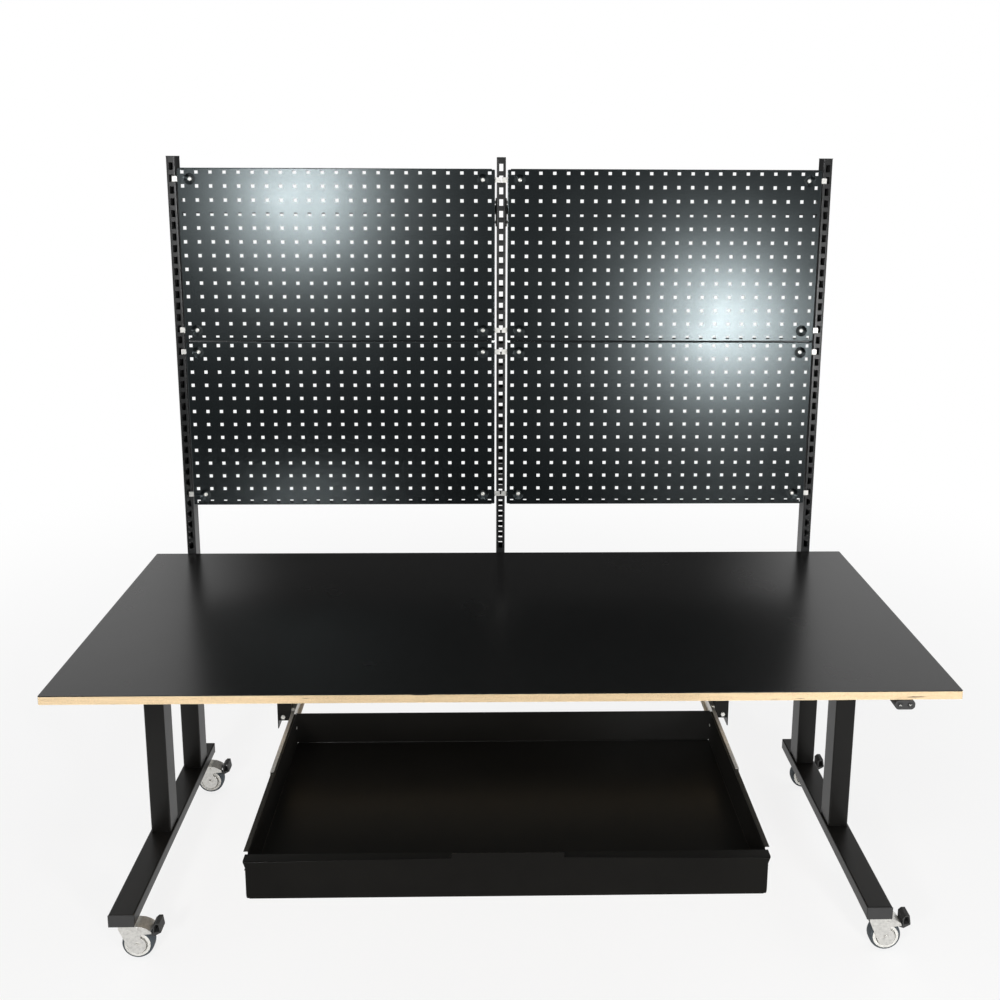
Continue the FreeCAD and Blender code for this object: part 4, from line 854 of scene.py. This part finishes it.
def post_mesh(node, shape):
    """A square tube with round corners and a row of slots through its front and rear walls."""
    low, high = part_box(node)
    mesh = bmesh.new()
    half_x = (high[0] - low[0]) / 2
    half_y = (high[1] - low[1]) / 2
    middle = ((low[0] + high[0]) / 2, (low[1] + high[1]) / 2)
    slot_half = shape.slot_width / 2
    wall = shape.wall
    outside = post_section(half_x, half_y, shape.corner, slot_half)
    inside = post_section(half_x - wall, half_y - wall, shape.corner - wall, slot_half)
    heights = [high[2]]
    for index in range(shape.slots):
        centre = high[2] - shape.slot_first - index * shape.slot_pitch
        heights += [centre + shape.slot_height / 2, centre - shape.slot_height / 2]
    heights.append(low[2])
    rings = [[[mesh.verts.new((middle[0] + x, middle[1] + y, height)) for x, y in section]
              for section in (outside, inside)] for height in heights]
    count = len(outside)
    slot_sides = [index for index in range(count)
                  if all(abs(abs(outside[(index + step) % count][0]) - slot_half) < 1e-6
                         for step in (0, 1))]
    for level, (above, below) in enumerate(zip(rings, rings[1:])):
        for index in range(count):
            after = (index + 1) % count
            if level % 2 and index in slot_sides:
                for near in (above, below):
                    mesh.faces.new((near[0][index], near[0][after], near[1][after], near[1][index]))
                for side in (index, after):
                    mesh.faces.new((above[0][side], above[1][side], below[1][side], below[0][side]))
                continue
            mesh.faces.new((above[0][index], below[0][index], below[0][after], above[0][after]))
            mesh.faces.new((above[1][index], above[1][after], below[1][after], below[1][index]))
    for ring in (rings[0], rings[-1]):
        bridge(mesh, ring[0], ring[1])
    bmesh.ops.recalc_face_normals(mesh, faces=mesh.faces)
    return mesh


# The folded drawer

def fold_sheet(piece_faces, folds, radius):
    """A sheet's outer surface: faces given by their corners, with the edges at folds rounded."""
    mesh = bmesh.new()
    corners = {}
    for face in piece_faces:
        for corner in face:
            if corner not in corners:
                corners[corner] = mesh.verts.new(corner)
    for face in piece_faces:
        mesh.faces.new([corners[corner] for corner in face])
    edges = [mesh.edges.get((corners[first], corners[second])) for first, second in folds]
    bmesh.ops.bevel(mesh, geom=edges, offset=radius, offset_type="OFFSET", segments=BEND_STEPS,
                    profile=0.5, affect="EDGES")
    return mesh


def thicken(piece, sheet):
    """Gives a folded surface its sheet's thickness, inwards."""
    solid = piece.modifiers.new("sheet", "SOLIDIFY")
    solid.thickness = sheet
    solid.offset = -1.0
    solid.use_even_offset = True


def tray_mesh(shape):
    """The tray's floor and three walls, with small relief openings at its rear corners."""
    (x0, y0, z0), (x1, y1, z1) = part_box("drawer_tray")
    cut = shape.bend_radius + shape.sheet
    floor = [(x0, y0, z0), (x1, y0, z0), (x1, y1 - cut, z0), (x1 - cut, y1, z0), (x0 + cut, y1, z0),
             (x0, y1 - cut, z0)]
    left = [(x0, y0, z0), (x0, y1 - cut, z0), (x0, y1, z0 + cut), (x0, y1, z1), (x0, y0, z1)]
    right = [(x1, y0, z0), (x1, y0, z1), (x1, y1, z1), (x1, y1, z0 + cut), (x1, y1 - cut, z0)]
    rear = [(x0 + cut, y1, z0), (x1 - cut, y1, z0), (x1, y1, z0 + cut), (x1, y1, z1), (x0, y1, z1),
            (x0, y1, z0 + cut)]
    folds = [(floor[0], floor[-1]), ((x1, y0, z0), (x1, y1 - cut, z0)),
             ((x0 + cut, y1, z0), (x1 - cut, y1, z0))]
    faces = [face[::-1] for face in (floor, left, right, rear)]
    return fold_sheet(faces, folds, shape.bend_radius)


def front_mesh(shape):
    """The drawer's front: raised middle, flared ends, lip folded back and side returns."""
    (low_x, y, z0), (high_x, _, top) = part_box("drawer_front")
    z1 = top - shape.tab_rise
    half = high_x - shape.flare
    tab = shape.tab_width / 2
    right = [(half - shape.chamfer, y, z0), (half, y, z0 + shape.chamfer),
             (half, y, z1 - shape.flare_height), (high_x, y, z1)]
    left = [(-x, y_, z) for x, y_, z in reversed(right)]
    bevel = TAB_CORNER
    face = right + [(tab, y, z1), (tab, y, top - bevel), (tab - bevel, y, top),
                    (bevel - tab, y, top), (-tab, y, top - bevel), (-tab, y, z1)] + left
    rim = [(high_x, y, z1), (high_x, y + shape.lip, z1), (low_x, y + shape.lip, z1), (low_x, y, z1),
           (-tab, y, z1), (-tab, y + shape.slit, z1), (tab, y + shape.slit, z1), (tab, y, z1)]
    folds = [((high_x, y, z1), (tab, y, z1)), ((low_x, y, z1), (-tab, y, z1))]
    mesh = fold_sheet([face, rim], folds, shape.bend_radius)
    sheet = shape.sheet
    for sign in (-1, 1):
        x = sign * (half - sheet)
        corners = [(x, y + sheet, z0 + 2 * sheet), (x, y + shape.side_return, z0 + 2 * sheet),
                   (x, y + shape.side_return, z1 - sheet), (x, y + sheet, z1 - sheet)]
        mesh.faces.new([mesh.verts.new(corner) for corner in corners[::sign]])
    return mesh


# The studio

WHITE = (1.0, 1.0, 1.0, 1.0)
FLOOR_COLOUR = (0.86, 0.86, 0.86, 1.0)
FLOOR_REACH = 40.0
FLOOR_DROP = 0.0002

# Eased ranges: from low, from high, to low, to high
FLOOR_FADE = (1.2, 4.0, 0.80, 1.0)
SIDE_EDGE = (0.615, 0.725, 0.0, 1.0)
SIDE_LEVELS = (-0.2, 0.2, 1.2, 1.5)
CEILING_FADE = (0.55, 0.8, 1.0, 0.15)
DIM_LEVELS = (-0.2, 0.4, 0.04, 0.07)

# How much a rear direction counts as a side, and where a card's soft ends begin
REAR_SHARE = 0.4
SOFT_FROM = 0.6

# Lamps: name, place, target and size
LAMPS = (
    ("front_left_lamp", (-1.13, -2.555, 1.63), (0.0, 0.6, 1.4), (0.42,)),
    ("front_right_lamp", (1.36, -2.555, 0.88), (0.2, 0.6, 1.2), (0.42,)),
    ("top_lamp", (0.0, -0.6, 3.6), (0.0, 0.2, 0.7), (3.0,)),
    ("strip_lamp", (0.0, -2.0, 3.1), (0.0, 0.0, 0.7), (3.4, 0.22)),
)

# Dark cards: name, place, direction beside X, half sizes and tone
CARDS = (
    ("front_card", (0.0, -3.2, 2.4), Z_AXIS, (5.2, 2.4), 0.04),
    ("front_cloth", (0.0, -2.0, 0.0), Y_AXIS, (4.0, 1.2), 0.22),
    ("rear_card", (0.0, 3.0, 2.4), Z_AXIS, (1.9, 2.4), 0.07),
    ("ceiling_card", (0.0, 0.0, 4.4), Y_AXIS, (4.0, 4.0), 0.18),
)


class StageTree:
    """The node tree of a stage material or of the world, with short calls for what it uses."""

    def __init__(self, owner, output):
        owner.use_nodes = True
        self.tree = owner.node_tree
        self.tree.nodes.clear()
        self.output = self.node(output)

    def node(self, kind, **values):
        node = self.tree.nodes.new("ShaderNode" + kind)
        for name, value in values.items():
            node.inputs[name].default_value = value
        return node

    def link(self, source, target):
        self.tree.links.new(source, target)

    def places(self, kind):
        return self.node("TexCoord").outputs[kind]

    def split(self, vector):
        node = self.node("SeparateXYZ")
        self.link(vector, node.inputs[0])
        return node.outputs

    def step(self, operation, first, second=None):
        """One step of arithmetic."""
        node = self.node("Math")
        node.operation = operation
        self.link(first, node.inputs[0])
        if isinstance(second, bpy.types.NodeSocket):
            self.link(second, node.inputs[1])
        elif second is not None:
            node.inputs[1].default_value = second
        return node.outputs[0]

    def ranged(self, value, from_low, from_high, low, high):
        """A value eased from one range to another."""
        node = self.node("MapRange")
        node.interpolation_type = "SMOOTHSTEP"
        for name, number in (("From Min", from_low), ("From Max", from_high), ("To Min", low),
                             ("To Max", high)):
            node.inputs[name].default_value = number
        self.link(value, node.inputs["Value"])
        return node.outputs[0]

    def seen_rays(self):
        """1 for rays that the eye sees, directly, mirrored or through glass."""
        path = self.node("LightPath").outputs
        direct = self.step("MAXIMUM", path["Is Camera Ray"], path["Is Transmission Ray"])
        return self.step("MAXIMUM", direct, path["Is Glossy Ray"])

    def show(self, factor, first, second):
        """Sends a mix of two shaders to the output."""
        mix = self.node("MixShader")
        self.link(factor, mix.inputs[0])
        self.link(first.outputs[0], mix.inputs[1])
        self.link(second.outputs[0], mix.inputs[2])
        self.link(mix.outputs[0], self.output.inputs["Surface"])


# Operators: one for each piece or group of like pieces

class TABLE_OT_work_surface(Operator):
    """Finish the worktop: satin laminate on a plywood core"""

    bl_idname = "table.work_surface"
    bl_label = "Worktop"

    def execute(self, context):
        finish_nodes("work_laminate", ["worktop_laminate"], 0.0004)
        finish_nodes("worktop_plywood", ["worktop_core"])
        return {"FINISHED"}


class TABLE_OT_frame(Operator):
    """Finish the frame under the worktop with its plugs, brackets and control box"""

    bl_idname = "table.frame"
    bl_label = "Frame"

    def execute(self, context):
        rails = ["frame_front_rail", "frame_rear_rail", "frame_side_rails"]
        finish_nodes("frame_coat", rails, 0.0015)
        finish_nodes("frame_coat", ["post_brackets"], 0.0006)
        finish_nodes("black_plastic", ["rail_caps", "control_box"], 0.0008)
        finish_nodes("zinc", ["post_bolts"], 0.0004)
        return {"FINISHED"}


class TABLE_OT_posts(Operator):
    """Finish the slotted posts, their plugs and the cross bars between them"""

    bl_idname = "table.posts"
    bl_label = "Posts"

    def execute(self, context):
        for node in ("post_left", "post_centre", "post_right"):
            mesh = post_mesh(node, context.scene.assembly_table.post)
            piece = new_piece("slotted_" + node, mesh, body_of(node), "post_coat", "black_steel",
                              node)
            smooth_by_angle(piece, 30)
        finish_nodes("frame_coat", ["cross_bar_left", "cross_bar_right"], 0.0008)
        finish_nodes("black_plastic", ["post_caps"], 0.0006)
        finish_nodes("screw_zinc_painted_glint", ["cross_bar_screws"], 0.0004)
        return {"FINISHED"}


class TABLE_OT_panels(Operator):
    """Build the four perforated panels"""

    bl_idname = "table.panels"
    bl_label = "Perforated Panels"

    def execute(self, context):
        shape = context.scene.assembly_table.panel
        for node in PANELS:
            mesh = PanelMaker(node, shape).build()
            piece = new_piece("perforated_" + node, mesh, body_of(node), "panel_coat",
                              "panel_steel", node)
            smooth_by_angle(piece, 30)
        return {"FINISHED"}


class TABLE_OT_panel_fittings(Operator):
    """Build the panels' domed screws and finish the hook brackets"""

    bl_idname = "table.panel_fittings"
    bl_label = "Panel Fittings"

    def execute(self, context):
        settings = context.scene.assembly_table
        shape = settings.panel
        mesh = bmesh.new()
        for node in PANELS:
            low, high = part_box(node)
            for x, z in dimple_centres(low, high, shape):
                seat = Vector((x, low[1] + shape.dimple_depth, z))
                add_domed_screw(mesh, seat, -Y_AXIS, settings.fastener)
        piece = new_piece("panel_screw_heads", mesh, body_of("panel_screws"), "screw_zinc_painted_glint",
                          "zinc_steel", "panel_screws")
        smooth_by_angle(piece, 40)
        finish_nodes("zinc", ["hook_brackets"], 0.0004)
        return {"FINISHED"}


class TABLE_OT_base(Operator):
    """Finish the lifting columns and the feet"""

    bl_idname = "table.base"
    bl_label = "Columns and Feet"

    def execute(self, context):
        finish_nodes("frame_coat", ["column_outer_left", "column_outer_right"], 0.0025, 3)
        finish_nodes("frame_coat", ["column_inner_tubes"], 0.002)
        finish_nodes("frame_coat", ["foot_left", "foot_right"], 0.002, 3)
        finish_nodes("black_plastic", ["foot_caps_left", "foot_caps_right"], 0.001)
        return {"FINISHED"}


class TABLE_OT_drawer(Operator):
    """Finish the drawer, its hangers and its three-part slides"""

    bl_idname = "table.drawer"
    bl_label = "Drawer"

    def execute(self, context):
        shape = context.scene.assembly_table.drawer
        for name, mesh, node in (("folded_tray", tray_mesh(shape), "drawer_tray"),
                                 ("folded_front", front_mesh(shape), "drawer_front")):
            piece = new_piece(name, mesh, body_of(node), "drawer_coat", "black_steel", node)
            thicken(piece, shape.sheet)
            smooth_by_angle(piece, 35)
        finish_nodes("frame_coat", ["drawer_hanger_left", "drawer_hanger_right"], 0.0008)
        finish_nodes("zinc", ["slide_outer_members", "slide_middle_members"], 0.0005)
        finish_nodes("dark_zinc", ["slide_inner_members"], 0.0005)
        finish_nodes("screw_zinc_painted_glint", ["hanger_screws", "drawer_rivets"], 0.0004)
        return {"FINISHED"}


class TABLE_OT_handset(Operator):
    """Finish the handset and draw the arrows on its buttons"""

    bl_idname = "table.handset"
    bl_label = "Handset"

    def execute(self, context):
        finish_nodes("black_plastic", ["handset_housing"], 0.0012, 3)
        finish_nodes("key_plastic", ["handset_button_up", "handset_button_down"], 0.0006, 3)
        for node, sign in (("handset_button_up", 1), ("handset_button_down", -1)):
            low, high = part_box(node)
            middle_x = (low[0] + high[0]) / 2
            middle_z = (low[2] + high[2]) / 2
            mesh = bmesh.new()
            self.arrow(mesh, middle_x, low[1] + 0.00002, middle_z, sign)
            new_piece(node + "_mark", mesh, body_of(node), "mark_paint", "mark_plastic")
        return {"FINISHED"}

    def arrow(self, mesh, x, y, z, sign):
        """A chevron, lying flat on the button."""
        outer = [(-0.0034, -0.0014), (0.0, 0.0020), (0.0034, -0.0014)]
        inner = [(-0.0024, -0.0022), (0.0, 0.0002), (0.0024, -0.0022)]
        tops = [mesh.verts.new((x + u, y - 0.00015, z + sign * v)) for u, v in outer]
        lows = [mesh.verts.new((x + u, y - 0.00015, z + sign * v)) for u, v in inner]
        for index in range(2):
            corners = [tops[index], lows[index], lows[index + 1], tops[index + 1]]
            mesh.faces.new(corners if sign > 0 else list(reversed(corners)))


class TABLE_OT_casters(Operator):
    """Build the casters' tyres and rims and finish their forks, pedals and plates"""

    bl_idname = "table.casters"
    bl_label = "Casters"

    def execute(self, context):
        shape = context.scene.assembly_table.caster
        for corner in CORNERS:
            low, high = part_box("caster_tyre_" + corner)
            axle = Vector([(a + b) / 2 for a, b in zip(low, high)])
            self.tyre(corner, axle, shape)
            self.rim(corner, axle, shape)
            finish_nodes("zinc", ["caster_fork_" + corner], 0.0006)
            finish_nodes("black_plastic", ["caster_pedal_" + corner], 0.0006)
        finish_nodes("zinc", ["caster_plates_left", "caster_plates_right"], 0.0006)
        return {"FINISHED"}

    def tyre(self, corner, axle, shape):
        """A tyre with a rounded tread."""
        seat = shape.rim_radius
        rise = shape.tyre_radius - seat
        half = [(seat + up * rise, out * shape.tyre_half_width) for up, out in TYRE_CURVE]
        mesh = turned_mesh(axle, Y_AXIS, half, TYRE_SIDES)
        node = "caster_tyre_" + corner
        piece = new_piece("tyre_" + corner, mesh, body_of(node), "tyre_rubber", "tread", node)
        smooth_by_angle(piece, 50)

    def rim(self, corner, axle, shape):
        """A rim with a boss, a sunk web and a proud ring under the tyre."""
        outer = shape.rim_radius
        inner = shape.ring_radius
        half = shape.rim_half_width
        web = RIM_BOSS - WEB_SUNK
        side = [(shape.bore_radius, RIM_BOSS), (0.0095, RIM_BOSS), (0.0105, web),
                (inner - 0.0014, web), (inner - 0.0004, RIM_BOSS), (inner, half - 0.0007),
                (inner + 0.0007, half), (outer - 0.0012, half), (outer - 0.0002, half - 0.0009),
                (outer, half - 0.0022)]
        mesh = turned_mesh(axle, Y_AXIS, side, RIM_SIDES)
        node = "caster_hub_" + corner
        piece = new_piece("rim_" + corner, mesh, body_of(node), "rim_plastic", "hub_plastic", node)
        smooth_by_angle(piece, 45)


class TABLE_OT_studio(Operator):
    """Set up the camera, the pale floor and the soft light"""

    bl_idname = "table.studio"
    bl_label = "Studio"

    def execute(self, context):
        studio = context.scene.assembly_table.studio
        self.camera(context, studio)
        self.floor()
        self.sky(context)
        powers = (studio.left_power, studio.right_power, studio.top_power, studio.strip_power)
        for (name, *placing), power in zip(LAMPS, powers):
            self.lamp(name, *placing, power)
        for card in CARDS:
            self.card(*card)
        context.scene.view_settings.view_transform = "Standard"
        return {"FINISHED"}

    def camera(self, context, studio):
        """Places the camera from its place, yaw, pitch and roll."""
        ahead = Vector((math.sin(studio.yaw) * math.cos(studio.pitch),
                        math.cos(studio.yaw) * math.cos(studio.pitch), -math.sin(studio.pitch)))
        level = Vector((math.cos(studio.yaw), -math.sin(studio.yaw), 0.0))
        upright = level.cross(ahead)
        right = level * math.cos(studio.roll) + upright * math.sin(studio.roll)
        up = upright * math.cos(studio.roll) - level * math.sin(studio.roll)
        data = bpy.data.cameras.new("studio_camera")
        data.lens = studio.lens
        data.sensor_width = 36.0
        data.sensor_fit = "HORIZONTAL"
        data.shift_x = studio.shift_x
        data.shift_y = studio.shift_y
        data.clip_end = 200.0
        camera = bpy.data.objects.new("studio_camera", data)
        turn = Matrix((right, up, -ahead)).transposed()
        camera.matrix_world = Matrix.Translation(studio.camera_place) @ turn.to_4x4()
        context.scene.collection.objects.link(camera)
        context.scene.camera = camera

    def sheet(self, name, place, across, half):
        """A flat stage sheet about its place: half its width along X and half its other side."""
        mesh = bmesh.new()
        along, across = Vector((half[0], 0, 0)), Vector(across) * half[1]
        mesh.faces.new([mesh.verts.new(u * along + v * across)
                        for u, v in ((-1, -1), (1, -1), (1, 1), (-1, 1))])
        data = bpy.data.meshes.new(name)
        mesh.to_mesh(data)
        mesh.free()
        data.materials.append(bpy.data.materials.new(name))
        sheet = bpy.data.objects.new(name, data)
        sheet.location = place
        bpy.context.scene.collection.objects.link(sheet)
        return sheet, StageTree(data.materials[0], "OutputMaterial")

    def floor(self):
        """A large pale floor that shows white to the eye and keeps a soft shadow."""
        _, tree = self.sheet("studio_floor", (0.0, 0.0, -FLOOR_DROP), Y_AXIS,
                             (FLOOR_REACH, FLOOR_REACH))
        matt = tree.node("BsdfDiffuse", Color=FLOOR_COLOUR)
        white = tree.node("Emission", Strength=1.0)
        away = tree.node("VectorMath")
        away.operation = "LENGTH"
        tree.link(tree.places("Object"), away.inputs[0])
        fade = tree.ranged(away.outputs["Value"], *FLOOR_FADE)
        tree.show(tree.step("MULTIPLY", tree.seen_rays(), fade), matt, white)

    def sky(self, context):
        """A white room: its light comes mostly from both sides, less from all else."""
        world = bpy.data.worlds.new("studio_light")
        context.scene.world = world
        tree = StageTree(world, "OutputWorld")
        ahead = tree.split(tree.places("Generated"))
        level = tree.node("CombineXYZ")
        tree.link(ahead["X"], level.inputs["X"])
        tree.link(ahead["Y"], level.inputs["Y"])
        heading = tree.node("VectorMath")
        heading.operation = "NORMALIZE"
        tree.link(level.outputs[0], heading.inputs[0])
        turned = tree.split(heading.outputs[0])
        to_side = tree.step("ABSOLUTE", turned["X"])
        to_rear = tree.step("MULTIPLY", turned["Y"], REAR_SHARE)
        side = tree.ranged(tree.step("ADD", to_side, to_rear), *SIDE_EDGE)
        right = tree.ranged(ahead["X"], *SIDE_LEVELS)
        under_ceiling = tree.ranged(ahead["Z"], *CEILING_FADE)
        dim = tree.ranged(ahead["Y"], *DIM_LEVELS)
        room = tree.node("Background", Color=WHITE)
        bright = tree.step("MULTIPLY", tree.step("MULTIPLY", side, right), under_ceiling)
        tree.link(tree.step("ADD", bright, dim), room.inputs["Strength"])
        tree.show(tree.seen_rays(), room, tree.node("Background", Color=WHITE))

    def card(self, name, place, across, half, tone):
        """A dark card with soft ends, seen only in what coats and metal mirror."""
        card, tree = self.sheet(name, place, across, half)
        for sight in ("camera", "diffuse", "shadow", "transmission"):
            setattr(card, "visible_" + sight, False)
        outward = tree.step("ABSOLUTE", tree.split(tree.places("Object"))["X"])
        soft = tree.ranged(outward, half[0] * SOFT_FROM, half[0], 0.0, 1.0)
        tree.show(soft, tree.node("Emission", Strength=tone), tree.node("BsdfTransparent"))
        card.data.materials[0].cycles.emission_sampling = "NONE"

    def lamp(self, name, place, target, size, power):
        """A round lamp, or a long one where two sizes are given."""
        data = bpy.data.lights.new(name, "AREA")
        data.shape = "DISK" if len(size) == 1 else "RECTANGLE"
        data.size = size[0]
        if len(size) > 1:
            data.size_y = size[1]
        data.energy = power
        lamp = bpy.data.objects.new(name, data)
        lamp.location = place
        aim = Vector(target) - Vector(place)
        lamp.rotation_euler = aim.to_track_quat("-Z", "Y").to_euler()
        bpy.context.scene.collection.objects.link(lamp)


class TABLE_PT_build(Panel):
    """Lists the steps that dress the table"""

    bl_idname = "TABLE_PT_build"
    bl_label = "Assembly Table"
    bl_space_type = "VIEW_3D"
    bl_region_type = "UI"
    bl_category = "Table"

    def draw(self, context):
        for step in STEPS:
            self.layout.operator(step.bl_idname)
        settings = context.scene.assembly_table
        for group in (settings.colours, settings.panel, settings.post, settings.drawer,
                      settings.fastener, settings.caster, settings.studio):
            box = self.layout.box()
            for name in group.__annotations__:
                box.prop(group, name)


STEPS = (
    TABLE_OT_work_surface,
    TABLE_OT_frame,
    TABLE_OT_posts,
    TABLE_OT_panels,
    TABLE_OT_panel_fittings,
    TABLE_OT_base,
    TABLE_OT_drawer,
    TABLE_OT_handset,
    TABLE_OT_casters,
    TABLE_OT_studio,
)
CLASSES = (
    FinishColours,
    PanelShape,
    PostShape,
    DrawerShape,
    FastenerShape,
    CasterShape,
    StudioSettings,
    AssemblyTable,
    *STEPS,
    TABLE_PT_build,
)


def register():
    for kind in CLASSES:
        bpy.utils.register_class(kind)
    bpy.types.Scene.assembly_table = PointerProperty(type=AssemblyTable)


def unregister():
    del bpy.types.Scene.assembly_table
    for kind in reversed(CLASSES):
        bpy.utils.unregister_class(kind)


def main():
    """Dresses the table step by step."""
    register()
    bpy.ops.table.work_surface()
    bpy.ops.table.frame()
    bpy.ops.table.posts()
    bpy.ops.table.panels()
    bpy.ops.table.panel_fittings()
    bpy.ops.table.base()
    bpy.ops.table.drawer()
    bpy.ops.table.handset()
    bpy.ops.table.casters()
    bpy.ops.table.studio()


if __name__ == "__main__":
    main()
